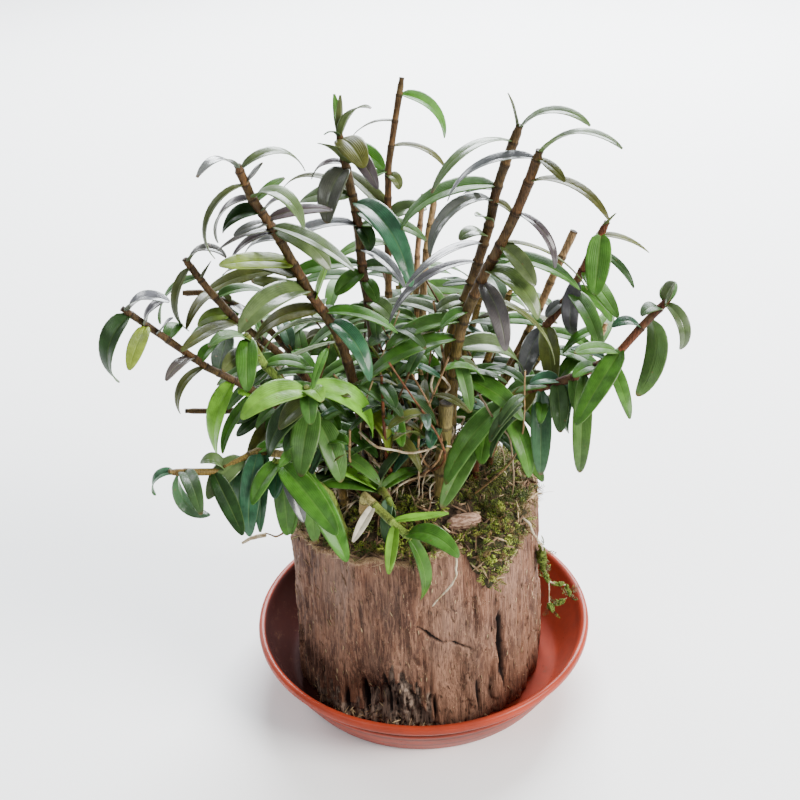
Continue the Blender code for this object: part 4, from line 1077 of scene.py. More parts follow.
def rot_depth(degrees, z):
    """How far the rotten stretch is eaten back, in millimetres, and how rotten the place is."""
    within = step_between(degrees, ROT_FROM - 4, ROT_FROM + 8) * step_between(degrees, ROT_TO + 4, ROT_TO - 6)
    top = ROT_HEIGHT + ROT_PEAK_HEIGHT * math.exp(-((degrees - ROT_PEAK) / 9) ** 2)
    slab = noise.cell(Vector((degrees * 0.42 + 0.5 * ripple(degrees, z * 0.1, 0), 0.5, 0)))
    top += 9 * slab - 4 + 3 * ripple(degrees * 0.5, 2.5, 0)
    rotten = within * step_between(z, top + 1.2, top - 1.2)
    if rotten <= 0:
        return 0.0, 0.0
    where = Vector((degrees * 0.34, 0.4, z * 0.045 + 0.03 * degrees))
    near, spots = noise.voronoi(where)
    block = noise.cell(spots[0] * 7.3)
    seam = step_between(near[1] - near[0], 0.13, 0.01)
    crumbs = 0.5 * ripple(degrees * 1.1, 3.0, z * 0.6)
    return rotten * (1.2 + 1.9 * block + 1.5 * seam + crumbs), rotten


def bark_point(angle, share):
    """Radius, painted shade and moulder of the bark at a place; the radius follows the part's own surface."""
    degrees = (math.degrees(angle) + 180) % 360 - 180
    z = (LOG_BASE_Z + (log_rim(angle) - LOG_BASE_Z) * share) / MM
    x, y = NOISE_RADIUS * math.cos(angle), NOISE_RADIUS * math.sin(angle)
    plates = 0.8 * ripple(x * 0.085, y * 0.085, z * 0.028)
    bend = 0.6 * ripple(x * 0.1, y * 0.1, z * 0.06)
    flakes = 0.75 * (noise.cell(Vector((x * 0.22 + bend, y * 0.22 + bend, z * 0.026 + bend))) - 0.5)
    furrows = 0.5 - 1.7 * abs(ripple(x * 0.30, y * 0.30, z * 0.022))
    strands = 0.42 * ripple(x * 0.85, y * 0.85, z * 0.050)
    strands += 0.26 * ripple(x * 2.0, y * 2.0, z * 0.11)
    pits = 0.10 * ripple(x * 3.1, y * 3.1, z * 1.2)
    crack = crack_depth(degrees, z)
    rot, moulder = rot_depth(degrees, z)
    foot = 1.8 * step_between(z, 9, 2) * (0.6 + ripple(x * 0.2, y * 0.2, 9.0))
    relief = plates + flakes + furrows + strands + pits - crack - rot - foot
    # Painted shade: more where cracks, furrows and strands cut in and where the rot is eaten far back
    crevice = crack / 3.0 + max(0.0, -furrows - 0.1) * 0.8 + max(0.0, -strands - 0.2) * 0.7
    crevice += max(0.0, rot - 3.0) * 0.45
    return log_radius(angle, share) + relief * MM, min(1.0, crevice), moulder


def make_log(looks):
    """The bark from the foot to the rim, the torn rim and the hollow behind it."""
    build = Build("crevice", "moulder", "wood", "density")
    angles = turns(BARK_COLUMNS)
    rows = []
    for row in range(BARK_ROWS + 1):
        share = row / BARK_ROWS
        ring = []
        for angle in angles:
            radius, crevice, moulder = bark_point(angle, share)
            z = LOG_BASE_Z + (log_rim(angle) - LOG_BASE_Z) * share
            torn = torn_edge(angle) * step_between(share, 0.96, 1.0)
            wood = step_between(share, 0.983, 0.998)
            density = (1 - crevice) * step_between(share, 0.02, 0.1)
            ring.append(build.point(polar(radius, angle, z + torn), crevice=crevice, moulder=moulder,
                                    wood=wood, density=density))
        rows.append(ring)
    for inset, lift, torn_share in RIM_RINGS:
        ring = []
        for angle in angles:
            radius = log_radius(angle, 1.0) - inset * MM
            rough = 0.5 * ripple(math.cos(angle) * 40, math.sin(angle) * 40, inset)
            z = log_rim(angle) + (lift + rough) * MM + torn_edge(angle) * torn_share
            outer = 1.0 if inset < 3 else 0.3
            # Painted shade on the rim's inner rings, towards the hollow
            ring.append(build.point(polar(radius, angle, z), wood=outer, crevice=0.7 - 0.7 * outer,
                                    density=0.2))
        rows.append(ring)
    for z in (None, CAVITY_MIDDLE_Z, CAVITY_FLOOR_Z):
        ring = []
        for angle in angles:
            height = log_rim(angle) - 0.8 * MM if z is None else z
            # Painted shade on the hollow's wall
            ring.append(build.point(polar(LOG_CAVITY_RADIUS, angle, height), crevice=0.6))
        rows.append(ring)
    build.body(rows, polar(0, 0, LOG_BASE_Z), polar(0, 0, CAVITY_FLOOR_Z))
    log = build.piece("log_bark", bark_finish(looks))
    settle(log, "bark", "hollow_log")
    return log


def torn_edge(angle):
    """How far the rim's edge stands up or down at a place."""
    x, y = math.cos(angle), math.sin(angle)
    rough = ripple(x * 16, y * 16, 4.0) + 0.6 * ripple(x * 48, y * 48, 1.0)
    return rough * 1.2 * MM


# Growing bed

BED_COLUMNS = 170
BED_RINGS = 44
BED_FLOOR_Z = 20.3 * MM
# The mat of moss over the rim: from and to in degrees, where it starts on the bed, and its columns and rows
MAT_FROM, MAT_TO = -67.0, -31.0
MAT_START_RADIUS = 44 * MM
MAT_COLUMNS, MAT_TOP_ROWS, MAT_DOWN_ROWS = 42, 10, 24
# How far the mat of moss hangs down the bark at even steps round it, in millimetres
MAT_DROPS = (6, 18, 26, 24, 20, 17, 14, 10, 5)
# The loose chip: its place, its turn in degrees, and its length, width and height in millimetres
CHIP = ((19, -38, 115.5), 30, (17, 9, 6))
CHIP_ENDS, CHIP_SIDES = 34, 26
LUMP_RINGS, LUMP_SIDES = 20, 14
# The bed's moss value for these lumps, above 1 where the material shows them as tufts
TUFT_MOSS = 2.0
# Lumps of moss along the strand that hangs at the right: their ends and radii in millimetres
STRAND_MOSS = (((59.8, -21.5, 87), (61.2, -20.5, 69), 2.3), ((61.8, -20.5, 69), (64.5, -20.5, 60.5), 1.3),
               ((65.5, -20.5, 60.5), (72.5, -20.5, 60.5), 1.2), ((73.5, -20.5, 60), (75.3, -20.5, 52), 1.4),
               ((64.0, -20.0, 45), (67.5, -20.0, 46), 2.6), ((67.0, -20.0, 46.5), (73.0, -20, 49.5), 1.7))


def bed_lumps(x, y):
    """Small lumps of the mix, in metres."""
    broad = ripple(x * 70, y * 70, 0.3)
    fine = ripple(x * 260, y * 260, 1.7)
    crumbs = ripple(x * 700, y * 700, 5.0)
    return (1.5 * broad + 0.8 * fine + 0.35 * crumbs) * MM


def moss_share(x, y):
    """How mossy the bed is at a place: most at the front and the right, thin under the canes at the left."""
    patch = ripple(x * 60, y * 60, 8.0) + 0.7 * ripple(x * 170, y * 170, 2.0)
    side = 0.1 + 4 * x - 5 * y
    return min(1.0, max(0.0, 0.42 + patch * 2.0 + side)) * clear_of_chip(x, y)


def clear_of_chip(x, y):
    """0 on and about the loose chip of bark, 1 away from it."""
    (chip_x, chip_y, _), _, _ = CHIP
    return step_between(math.hypot(x - chip_x * MM, y - chip_y * MM), 8 * MM, 12 * MM)


def mat_drop(share):
    """How far the mat hangs down the bark at a share of the way round it."""
    place = share * (len(MAT_DROPS) - 1)
    low = min(int(place), len(MAT_DROPS) - 2)
    drop = MAT_DROPS[low] + (MAT_DROPS[low + 1] - MAT_DROPS[low]) * (place - low)
    return (drop + 4.5 * ripple(share * 9, 0.7, 0)) * MM


def mat_rows():
    """The mat's places: over the bed's edge and the rim, and down the bark, for each direction."""
    columns = []
    for column in range(MAT_COLUMNS + 1):
        share = column / MAT_COLUMNS
        angle = math.radians(MAT_FROM + (MAT_TO - MAT_FROM) * share)
        rim, drop = log_rim(angle), mat_drop(share)
        places = []
        for row in range(MAT_TOP_ROWS):
            step = row / MAT_TOP_ROWS
            radius = MAT_START_RADIUS + (log_radius(angle, 1) - MAT_START_RADIUS) * step
            bed = bed_height(*polar(min(radius, BED_RADIUS), angle, 0).xy)
            places.append((radius, max(bed, rim + 0.8 * MM) if step > 0.4 else bed, Vector((0, 0, 1))))
        out = level(angle)
        for row in range(MAT_DOWN_ROWS + 1):
            z = rim - drop * row / MAT_DOWN_ROWS
            share_up = (z - LOG_BASE_Z) / (rim - LOG_BASE_Z)
            places.append((log_radius(angle, share_up) + 0.9 * MM, z + 0.6 * MM,
                           (out + Vector((0, 0, 1.0 * (row == 0)))).normalized()))
        columns.append((angle, places))
    return columns


def add_moss_mat(build):
    """A skin of moss between the mat's places and the same places raised by its thickness."""
    columns = mat_rows()
    count = len(columns[0][1])
    near, far = [], []
    for number, (angle, places) in enumerate(columns):
        low, high = [], []
        for row, (radius, z, out) in enumerate(places):
            place = polar(radius, angle, z)
            border = min(number, len(columns) - 1 - number) / 5
            border = min(1.0, border, (count - 1 - row) / 4 + 0.1)
            clear = clear_of_chip(place.x, place.y)
            thick = (0.2 + 1.3 * max(0.0, border) * clear) * MM
            thick *= 1 + 0.6 * noise.noise(place * 260)
            clump = step_between(noise.noise(place * 190) + 0.5 * noise.noise(place * 420), -0.35, 0.1)
            low.append(build.point(place, moss=1.0))
            raised = place + out * (thick + bed_lumps(place.x, place.z) * 0.4 * border * clear)
            density = clump * clear * (1.0 if border > 0.12 else 0.3)
            high.append(build.point(raised, moss=1.0, density=density))
        near.append(low)
        far.append(high)
    build.grid(far, closed=False)
    build.grid([row[::-1] for row in near], closed=False)
    build.grid([border_of(near), border_of(far)])


def border_of(rows):
    """The points round the outside of a grid, in order."""
    return rows[0] + [row[-1] for row in rows[1:-1]] + rows[-1][::-1] + [row[0] for row in rows[-2:0:-1]]


def add_lump(build, low, high, radius):
    """A small mossy lump round a line."""
    along = (high - low).normalized()
    side = along.orthogonal().normalized()
    other = along.cross(side)
    rows = []
    for step in range(LUMP_RINGS):
        share = step / (LUMP_RINGS - 1)
        ring = []
        for turn in turns(LUMP_SIDES):
            out = side * math.cos(turn) + other * math.sin(turn)
            middle = low.lerp(high, share)
            place = middle + out * radius
            rough = 0.9 * noise.noise(place * 420) + 0.7 * noise.noise(place * 1100)
            swell = radius * math.sin(math.pi * (0.06 + 0.88 * share)) ** 0.6 * (0.9 + rough)
            ring.append(build.point(middle + out * swell, moss=TUFT_MOSS, density=0.22))
        rows.append(ring)
    build.grid(rows)
    build.fan(rows[0], build.point(low, moss=TUFT_MOSS), flip=True)
    build.fan(rows[-1], build.point(high, moss=TUFT_MOSS))


def make_bed():
    """The mounded bark mix, with the mat of moss over the rim and the mossy lumps at the right."""
    build = Build("moss", "density")
    angles = turns(BED_COLUMNS)
    rows = []
    for ring_number in range(BED_RINGS, 0, -1):
        share = ring_number / BED_RINGS
        ring = []
        for angle in angles:
            place = polar(BED_RADIUS * share, angle, 0)
            moss = moss_share(place.x, place.y)
            lumps = bed_lumps(place.x, place.y) * (0.25 if ring_number == BED_RINGS else 1)
            place.z = bed_height(place.x, place.y) + lumps + moss * 0.8 * MM * (share < 0.97)
            ring.append(build.point(place, moss=moss, density=moss))
        rows.append(ring)
    base = [[build.point(polar(BED_RADIUS, angle, z)) for angle in angles]
            for z in (BED_FLOOR_Z, CAVITY_MIDDLE_Z)]
    crown = polar(0, 0, 0)
    crown.z = bed_height(crown.x, crown.y)
    build.body(base + rows, polar(0, 0, BED_FLOOR_Z), crown, moss=0.3, density=0.3)
    add_moss_mat(build)
    for low, high, radius in STRAND_MOSS:
        add_lump(build, Vector(low) * MM, Vector(high) * MM, radius * MM)
    bed = build.piece("bark_mix", bed_finish())
    settle(bed, "bed", "growing_bed")
    return bed


def make_chip():
    """The loose piece of bark: a slab with torn ends and flaked layers."""
    (x, y, z), degrees, (length, width, height) = CHIP
    turn = Matrix.Translation(((x + 1.5) * MM, (y - 1.5) * MM, (z + 0.8) * MM))
    turn = turn @ Matrix.Rotation(math.radians(degrees - 16), 4, "Z")
    build = Build()
    rows = []
    for end in range(CHIP_ENDS + 1):
        along = -1 + 2 * end / CHIP_ENDS
        ring = []
        for angle in turns(CHIP_SIDES):
            across, up = math.cos(angle), math.sin(angle)
            square = max(abs(across), abs(up)) ** -0.75
            narrow = (1 - abs(along) ** 5) ** 0.5 * (0.82 + 0.12 * math.sin(along * 3 + 1)) + 0.02
            torn = ripple(along * 4, across * 2.5, up * 2.5) * 0.17
            flake = round(up * 3) * 0.05
            place = Vector((along * (0.5 + torn * 0.12) * length,
                            across * square * narrow * width * (0.42 + torn * 0.4),
                            (up * square * narrow * (0.40 + torn * 0.35) + flake) * height))
            ring.append(build.point(turn @ (place * MM)))
        rows.append(ring)
    half = Vector((length * 0.5 * MM, 0, 0))
    build.body(rows, turn @ -half, turn @ half)
    settle(build.piece("loose_bark_chip", chip_finish()), "chip", "bark_chip_1")


# Moss, litter and splinters

# Below the bed's surface everywhere
BED_LOW_Z = 90 * MM


def prism(build, path, radii, low=0.0, high=1.0):
    """A slim three-sided body along a few places, closed at both ends."""
    rows = []
    for number, (place, radius) in enumerate(zip(path, radii)):
        other = path[min(number + 1, len(path) - 1)] - path[max(number - 1, 0)]
        side = other.cross(Vector((0.31, 0.87, 0.22))).normalized()
        across = other.cross(side).normalized()
        share = number / (len(path) - 1)
        rows.append([build.point(place + (side * math.cos(turn) + across * math.sin(turn)) * radius,
                                 tip=low + (high - low) * share) for turn in (0, 2.1, 4.2)])
    build.grid(rows)
    build.faces.append(tuple(rows[0][::-1]))
    build.faces.append(tuple(rows[-1]))


def loose_shape(name, build):
    """A small shape for a tree to copy, removed once that is done."""
    shape = placed(name, build.mesh(name))
    turn_outwards(shape.data)
    return shape


def on_stalk(share):
    """A place on a sprig's bent stalk."""
    return Vector((0.6 * share ** 2 * 5, 0, 6.5 * share * (1 - 0.25 * share))) * MM


def moss_sprig():
    """A feathery sprig 7 mm long: a bent stalk with pairs of needle leaves that shorten towards its tip."""
    build = Build("tip")
    prism(build, [on_stalk(0), on_stalk(1)], [0.16 * MM, 0.05 * MM], high=0.8)
    for pair in range(4):
        start = on_stalk(0.24 + 0.2 * pair)
        reach = (2.7 - 0.4 * pair) * MM
        for side in (-1, 1):
            out = Vector((0.45, side * 0.85, 0.55 + 0.1 * pair)).normalized()
            middle, wide = start + out * reach * 0.45 + Vector((0, 0, 0.3 * MM)), Vector((0.3, 0, -0.05)) * MM
            a, b = build.point(start, tip=0.25), build.point(start + out * reach, tip=1.0)
            c, d = build.point(middle + wide, tip=0.7), build.point(middle - wide, tip=0.7)
            build.faces += [(a, c, d), (b, d, c), (a, b, c), (a, d, b)]
    return loose_shape("sprig", build)


def bark_sliver():
    """A sliver 5 mm long that lies along X, lifted at its far end."""
    build = Build("tip")
    places = (-2.6, -0.1), (-0.8, 0.15), (1.2, 0.3), (2.8, 0.75)
    path = [Vector((x, 0.12 * x, z)) * MM for x, z in places]
    prism(build, path, [0.16 * MM, 0.42 * MM, 0.34 * MM, 0.05 * MM])
    return loose_shape("sliver", build)


def carrier_of(piece, name, density):
    """A loose copy of a piece with a density attribute, for a tree to scatter over and use up."""
    copy = placed(name, piece.data.copy())
    field = copy.data.attributes.get("density") or copy.data.attributes.new("density", "FLOAT", "POINT")
    numbers = [density(vertex.co, data.value) for vertex, data in zip(copy.data.vertices, field.data)]
    field.data.foreach_set("value", numbers)
    return copy


def on_rim(place):
    """How much of the rim's top is strewn over at a place: none near its edge, less at the front."""
    away = (place - LOG_CENTRE).xy
    angle = math.atan2(away.y, away.x)
    if place.z < log_rim(angle) - 2 * MM or away.length < LOG_CAVITY_RADIUS - 1 * MM:
        return 0.0
    front = math.exp(-((math.degrees(angle) + 110) / 30) ** 2)
    edge = log_radius(angle, 1) - (1.0 + 1.6 * front) * MM
    return step_between(away.length, edge + 0.6 * MM, edge - 0.6 * MM)


def strewn(tree, name, carriers, seed, **values):
    """One piece from the same small shape scattered over a few carriers."""
    grown = [tree.grow(f"{name}_{number}", carrier, Seed=seed + number, Turn=math.pi, **values)
             for number, carrier in enumerate(carriers)]
    return joined(name, grown, values["Material"])


def make_moss(looks, bed, log):
    tree = scatter_tree()
    sprig = moss_sprig()

    def on_bed(place, moss):
        over_rim = place.y < -30 * MM and place.z > 70 * MM or place.x > 58 * MM
        return moss if place.z > BED_LOW_Z or over_rim else 0.0

    def by_rim(place, _):
        return on_rim(place) * (0.4 + 0.6 * moss_share(place.x, place.y))

    carriers = carrier_of(bed, "moss_carrier", on_bed), carrier_of(log, "rim_carrier", by_rim)
    moss = strewn(tree, "moss_sprigs", carriers, SEED, Shape=sprig, Material=moss_finish(looks),
                  Per_Square_Metre=looks.moss_per_square_metre, Least_Size=0.55, Most_Size=1.2, Lean=0.8,
                  Lift=-0.7 * MM)
    bpy.data.objects.remove(sprig)
    settle(moss, "bed")


def make_litter(bed, log):
    tree = scatter_tree()
    sliver = bark_sliver()

    def on_bed(place, moss):
        return 1.1 - 0.6 * moss if place.z > BED_LOW_Z else 0.0

    carriers = (carrier_of(bed, "litter_carrier", on_bed),
                carrier_of(log, "rim_carrier", lambda place, _: 2.2 * on_rim(place)))
    litter = strewn(tree, "bed_litter", carriers, SEED + 3, Shape=sliver, Material=litter_finish(),
                    Per_Square_Metre=1.1e5, Least_Size=0.6, Most_Size=1.9, Lean=0.5)
    bpy.data.objects.remove(sliver)
    settle(litter, "bed")


def make_splinters(looks, log):
    tree = scatter_tree()
    sliver = bark_sliver()
    material = litter_finish()
    carrier = carrier_of(log, "splinter_carrier", lambda _, density: density)
    splinters = tree.grow("bark_splinters", carrier, Shape=sliver, Material=material,
                          Per_Square_Metre=looks.splinters_per_square_metre, Least_Size=0.25, Most_Size=0.85,
                          Lean=0.12, Turn=0.35, Upright=1.0, Seed=SEED + 5)
    carrier = carrier_of(log, "debris_carrier", at_foot)
    debris = tree.grow("foot_debris", carrier, Shape=sliver, Material=material, Per_Square_Metre=3.0e5,
                       Least_Size=0.5, Most_Size=1.45, Lean=0.9, Turn=math.pi, Seed=SEED + 9)
    bpy.data.objects.remove(sliver)
    settle(joined("bark_splinters", [splinters, debris], material), "bark")


def at_foot(place, _):
    """Where broken crumbs of bark lie round the log's foot: most of them below the rotten stretch."""
    away = place - LOG_CENTRE
    degrees = math.degrees(math.atan2(away.y, away.x))
    rotten = math.exp(-((degrees + 112) / 34) ** 2)
    low = step_between(place.z, 4.2 * MM, 5.4 * MM)
    return low * step_between(place.z, (6 + 8 * rotten) * MM, 5.4 * MM) * (0.15 + 0.85 * rotten)


# Canes and leaves

# Base colours of leaves: silver, lilac, pale, olive, dark, yellowish, teal, whitish, bright, green and dead
LEAF_TONES = {
    # The silver tone is a lilac grey: partly the older leaves' purplish tone, partly painted sheen
    "S": (0.085, 0.082, 0.090), "L": (0.052, 0.038, 0.040), "P": (0.056, 0.088, 0.026),
    "O": (0.050, 0.054, 0.008), "D": (0.013, 0.039, 0.007), "Y": (0.130, 0.190, 0.018),
    "T": (0.019, 0.072, 0.030), "W": (0.170, 0.210, 0.100), "B": (0.130, 0.310, 0.022),
    "G": (0.038, 0.114, 0.010), "N": (0.520, 0.480, 0.380),
}
# Base colours of stems: purple, dark, ochre, red, tan, straw, fresh and bulb
STEM_TONES = {
    "p": (0.058, 0.031, 0.011), "d": (0.052, 0.029, 0.010), "o": (0.115, 0.078, 0.020),
    "r": (0.085, 0.028, 0.012), "t": (0.210, 0.130, 0.060), "s": (0.380, 0.280, 0.130),
    "f": (0.120, 0.170, 0.028), "b": (0.115, 0.085, 0.028),
}
# A cane's leaves in the plan's order, and its stem from foot to tip
Look = namedtuple("Look", "leaves stem")
PLAIN = Look("GDOGDG", "do")
CANE_LOOKS = {
    "cane_tall_right_inner": Look("SSOPPSSODPPPGGGG", "op"),
    "cane_tall_right_outer": Look("PSPOOLOPOPLGGGGGGGLP", "op"),
    "cane_centre": Look("LOOOODLLOPSTTSDGGDPGGGGGGGGGGG", "dp"),
    "cane_upper_left": Look("SPLOLDSLLSPYOPPTWPLBGGGGOOYLP", "dp"),
    "cane_left": Look("LOLGYOGGGGG", "dp"),
    "cane_far_left": Look("SSSDYLOBBGGGD", "dd"),
    "cane_left_back": Look("OLGGOG", "dd"),
    "cane_left_low": Look("DDGGGO", "dd"),
    "cane_low_left_pale": Look("TTDPTTPGGGGDT", "so"),
    "shoot_low_front_left": Look("TGGSGGG", "ff"),
    "shoot_bright_front": Look("BBBDODTGGGGG", "of"),
    "shoot_left": Look("GGOGDGG", "of"),
    "cane_tall_back": Look("GLOPOGGOG", "tp"),
    "cane_back_tan": Look("GGGG", "st"),
    "cane_back_thin": Look("GGGG", "st"),
    "cane_right": Look("OGODSGSSGGGGGGOG", "or"),
    "cane_far_right": Look("PPDGTGGTGTGGGGOTTGDGGGG", "rr"),
    "cane_right_thin": Look("GGGGGG", "rt"),
    "shoot_over_rim": Look("BBGGN", "sf"),
    "shoot_front_dark": Look("BGDTDG", "df"),
    "dry_stick": Look("", "tt"), "back_bulb_right": Look("", "bb"), "back_bulb_middle": Look("", "bs"),
    "back_bulb_left": Look("", "bb"),
}
# How silvery a leaf of each tone is
SILVER = {"S": 1.0, "L": 0.8, "P": 0.55, "W": 0.4, "T": 0.4, "N": 0.0}
PLAIN_SILVER = 0.14
# Shares of the way along a blade and across it, where it has points
LEAF_STATIONS = (0.0, 0.03, 0.07, 0.12, 0.19, 0.27, 0.35, 0.43, 0.51, 0.59, 0.67, 0.74, 0.81, 0.87, 0.92,
                 0.955, 0.98, 0.994, 1.0)
LEAF_ACROSS = (-1.0, -0.82, -0.52, -0.2, 0.0, 0.2, 0.52, 0.82, 1.0)
# The last station's width, as a share of the blade's
TIP_SHARE = 0.03
LEAF_VALUES = ("leaf", "across", "along", "red", "green", "blue", "silver", "under", "chance")
STEM_INTERNODE = 14 * MM
# Along one internode: its share and the stem's thickness there, from just above a node up to the next
INTERNODE_SHAPE = ((0.0, 1.10), (0.04, 1.05), (0.09, 0.96), (0.2, 0.94), (0.5, 0.96), (0.8, 1.0),
                   (0.93, 1.05), (0.985, 1.10))


def varied(tone, dice, spread=0.14):
    """A base colour made a little lighter or darker, and a little redder or greener."""
    light = dice.uniform(1 - 1.6 * spread, 1 + 1.6 * spread)
    return {label: part * light * dice.uniform(1 - spread / 2, 1 + spread / 2)
            for label, part in zip(("red", "green", "blue"), tone)}


def add_leaf(build, spine, letter, dice, stations=LEAF_STATIONS):
    """A blade with a grooved midrib, sides that fold up from it, thin edges that wave, and a rounded tip."""
    fold = math.tan(math.radians(dice.uniform(7, 24)))
    droop = dice.uniform(0.0, 0.5)
    twist = math.radians(dice.uniform(-24, 24))
    phase = dice.uniform(0, math.tau)
    waves = dice.uniform(5, 9)
    values = {"leaf": 1.0, "silver": SILVER.get(letter, PLAIN_SILVER), "chance": dice.random(),
              **varied(LEAF_TONES[letter], dice)}
    tops, unders = [], []
    for station, middle in zip(stations, spine.points(stations)):
        heading = spine.heading_at(station)
        turn = Matrix.Rotation(twist * station, 3, heading)
        side, normal = turn @ spine.across, turn @ spine.normal_at(station)
        half = spine.half_width(station)
        half *= TIP_SHARE if station == 1.0 else 0.55 + 0.45 * step_between(station, 0, 0.12)
        steep = fold * (1.5 - 1.1 * station ** 0.7)
        thick = (0.62 - 0.2 * station) * MM
        top, under = [], []
        for share in LEAF_ACROSS:
            away = abs(share)
            lift = steep * half * (away - droop * away ** 3 * station)
            lift += 0.045 * half * away ** 2 * math.sin(waves * station + phase + (2.1 if share > 0 else 0))
            groove = 0.16 * MM * math.exp(-(share / 0.12) ** 2) * (1 - station ** 4)
            place = middle + side * half * share + normal * lift
            rim = thick * (1 - 0.55 * away ** 3) / 2
            common = {**values, "across": share, "along": station}
            top.append(build.point(place + normal * (rim - groove), **common))
            under.append(build.point(place - normal * (rim + groove * 0.9), under=1.0, **common))
        tops.append(top)
        unders.append(under)
    build.grid(tops, closed=False)
    build.grid([row[::-1] for row in unders], closed=False)
    left = [row[0] for row in tops], [row[0] for row in unders]
    right = [row[-1] for row in unders], [row[-1] for row in tops]
    for edge in (left, right, (unders[0], tops[0]), (tops[-1], unders[-1])):
        build.grid(edge, closed=False)


def stem_nodes(way, leaves):
    """Distances of a stem's nodes: one at each leaf, and more where two leaves are far apart."""
    marks = sorted({round(min(leaf[0] / 100 * way.length, way.length - 3 * MM), 4) for leaf in leaves})
    nodes = []
    for mark in marks:
        if not nodes or mark - nodes[-1] > STEM_INTERNODE * 0.45:
            nodes.append(mark)
    nodes = [0.0] + nodes + [way.length]
    filled = []
    for low, high in zip(nodes, nodes[1:]):
        count = max(1, round((high - low) / STEM_INTERNODE))
        filled += [low + (high - low) * step / count for step in range(count)]
    return filled + [way.length]


def stem_path(cane, way, look, dice):
    """The stem's rings: ridged at its nodes, waisted above them and tapering to its tip."""
    stops = ring_distances(cane, way)
    path = []
    nodes = stem_nodes(way, cane.leaves)
    foot, tip = (Vector(STEM_TONES[letter]) for letter in look.stem)
    bare = not cane.leaves
    chance = dice.random()
    for low, high in zip(nodes, nodes[1:]):
        tone = foot.lerp(tip, step_between(low / way.length, 0.30, 0.62))
        values = {"chance": chance, **varied(tone, dice)}
        for share, thickness in INTERNODE_SHAPE:
            distance = low + (high - low) * share
            taper = 1.0 if bare else 1.04 - 0.22 * (distance / way.length) ** 2
            if distance > way.length - 2 * MM:
                taper *= 0.9 if bare else 0.75
            path.append((axis_point(way, stops, distance), cane.radius * 1.08 * thickness * taper * MM,
                         {**values, "along": share}))
    if bare:
        values = {**values, "red": 0.012, "green": 0.009, "blue": 0.007}
    blunt = 0.8 if bare else 0.45
    path.append((axis_point(way, stops, way.length), cane.radius * blunt * MM, {**values, "along": 0.9}))
    return path


def make_cane(name, canes, slot, material, stem_tree):
    """One piece for a few canes: their stems from the tube tree, and their leaves."""
    dice = random.Random(name)
    leaves = Build(*LEAF_VALUES)
    paths = []
    for cane in canes:
        look = CANE_LOOKS.get(cane.name, PLAIN)
        way = cane_way(cane)
        paths.append(stem_path(cane, way, look, dice))
        for spine in planted_leaves(cane, way):
            add_leaf(leaves, spine, look.leaves[spine.number], dice)
    carrier = paths_object(f"{name}_paths", paths)
    pieces = [stem_tree.grow(f"{name}_stems", carrier, Material=material, Sides=14, Rough=0.14 * MM,
                             Grain=420.0)]
    if leaves.faces:
        pieces.append(leaves.piece(f"{name}_leaves", material))
    settle(joined(name, pieces, material), slot, *(cane.name for cane in canes))


def slot_for(cane):
    if not cane.leaves:
        return "old_cane"
    if cane.name in ("shoot_bright_front", "shoot_over_rim"):
        return "leaf_young"
    if cane.name in ("cane_tall_right_inner", "cane_tall_right_outer", "cane_centre", "cane_upper_left"):
        return "leaf_silver"
    return "leaf_green"


# Roots

# Roots that the photograph shows plainly: thickness in millimetres, how dark from 0 to 1, and places in
# millimetres from the plant outwards
SHOWN_ROOTS = (
    (1.3, 0.05, ((-24, -20, 160), (-16.9, -24, 161), (-11.2, -24, 161.8), (-6.5, -24, 162.6),
                 (-1.7, -24, 166.2), (1.5, -24, 165), (8.1, -22, 166.8), (13, -18, 160))),
    (1.2, 0.35, ((-27, -28, 162), (-19.9, -34, 157.5), (-12.1, -34, 154.9), (-5.2, -34, 152.9),
                 (2.7, -34, 153.6), (10.2, -32, 154.9), (16, -26, 150))),
    (1.1, 0.7, ((30, -16, 172), (34.1, -20, 165.3), (38.8, -20, 156.7), (44.1, -20, 148.6), (46, -19, 126),
                (45, -18, 112))),
    (1.2, 0.0, ((9, -14, 170), (7.2, -20, 180.2), (8.7, -20, 185.4), (12.9, -20, 184.2), (16, -20, 178.7),
                (13.6, -20, 175), (11, -17, 160))),
    (1.1, 0.45, ((12, -54, 116), (15.2, -62.4, 113), (15.0, -65.2, 108), (14.7, -65.6, 104),
                 (11.7, -66, 98), (7.3, -66.6, 93), (3.5, -66.9, 88.3))),
    (1.3, 1.0, ((-50, -12, 115), (-61, -13, 107), (-67, -13, 97), (-72.1, -12, 92), (-78.1, -12, 94.4))),
    (2.2, 0.55, ((-77.5, -14, 94.6), (-81.1, -16, 95.4), (-85.4, -16, 94.0), (-89.6, -16, 91.7))),
    (1.1, 0.45, ((47, -36, 116), (51.2, -40.2, 114.5), (53.8, -38.6, 106.8), (58.0, -31.5, 95.4),
                 (60.5, -22, 84), (60.8, -20, 71), (63.0, -20, 63.6), (68.6, -21, 60.7), (73.3, -20, 59.1),
                 (75.0, -20, 54.5))),
    (0.8, 0.3, ((60.8, -20, 74), (62.5, -19, 68), (64.5, -21, 60.0), (64.8, -20, 49.8), (65.9, -20, 45.1),
                (71.0, -19, 48.1), (74, -20, 50.6))),
)


def hanging_root(start, heading, length, dice):
    """A root that arches out from a stem and falls to the bed, wandering a little."""
    out = level(heading)
    place = start.copy()
    direction = (out + Vector((0, 0, dice.uniform(-0.3, 0.5)))).normalized()
    places = [place.copy()]
    while len(places) < 26:
        direction = (direction + Vector((dice.gauss(0, 0.16), dice.gauss(0, 0.16), -0.13))).normalized()
        place = place + direction * length / 16
        floor = bed_height(place.x, place.y) + 0.6 * MM
        reach = 0.55 if place.y < 0 and place.x > -25 * MM else 0.94
        if (place - LOG_CENTRE).xy.length > BED_RADIUS * reach:
            inward = (LOG_CENTRE - place).xy.normalized()
            place.x += inward.x * 3 * MM
            place.y += inward.y * 3 * MM
        if place.z < floor:
            place.z = floor
            direction.z = 0.05
        places.append(place.copy())
        if place.z == floor and dice.random() < 0.3:
            break
    return places


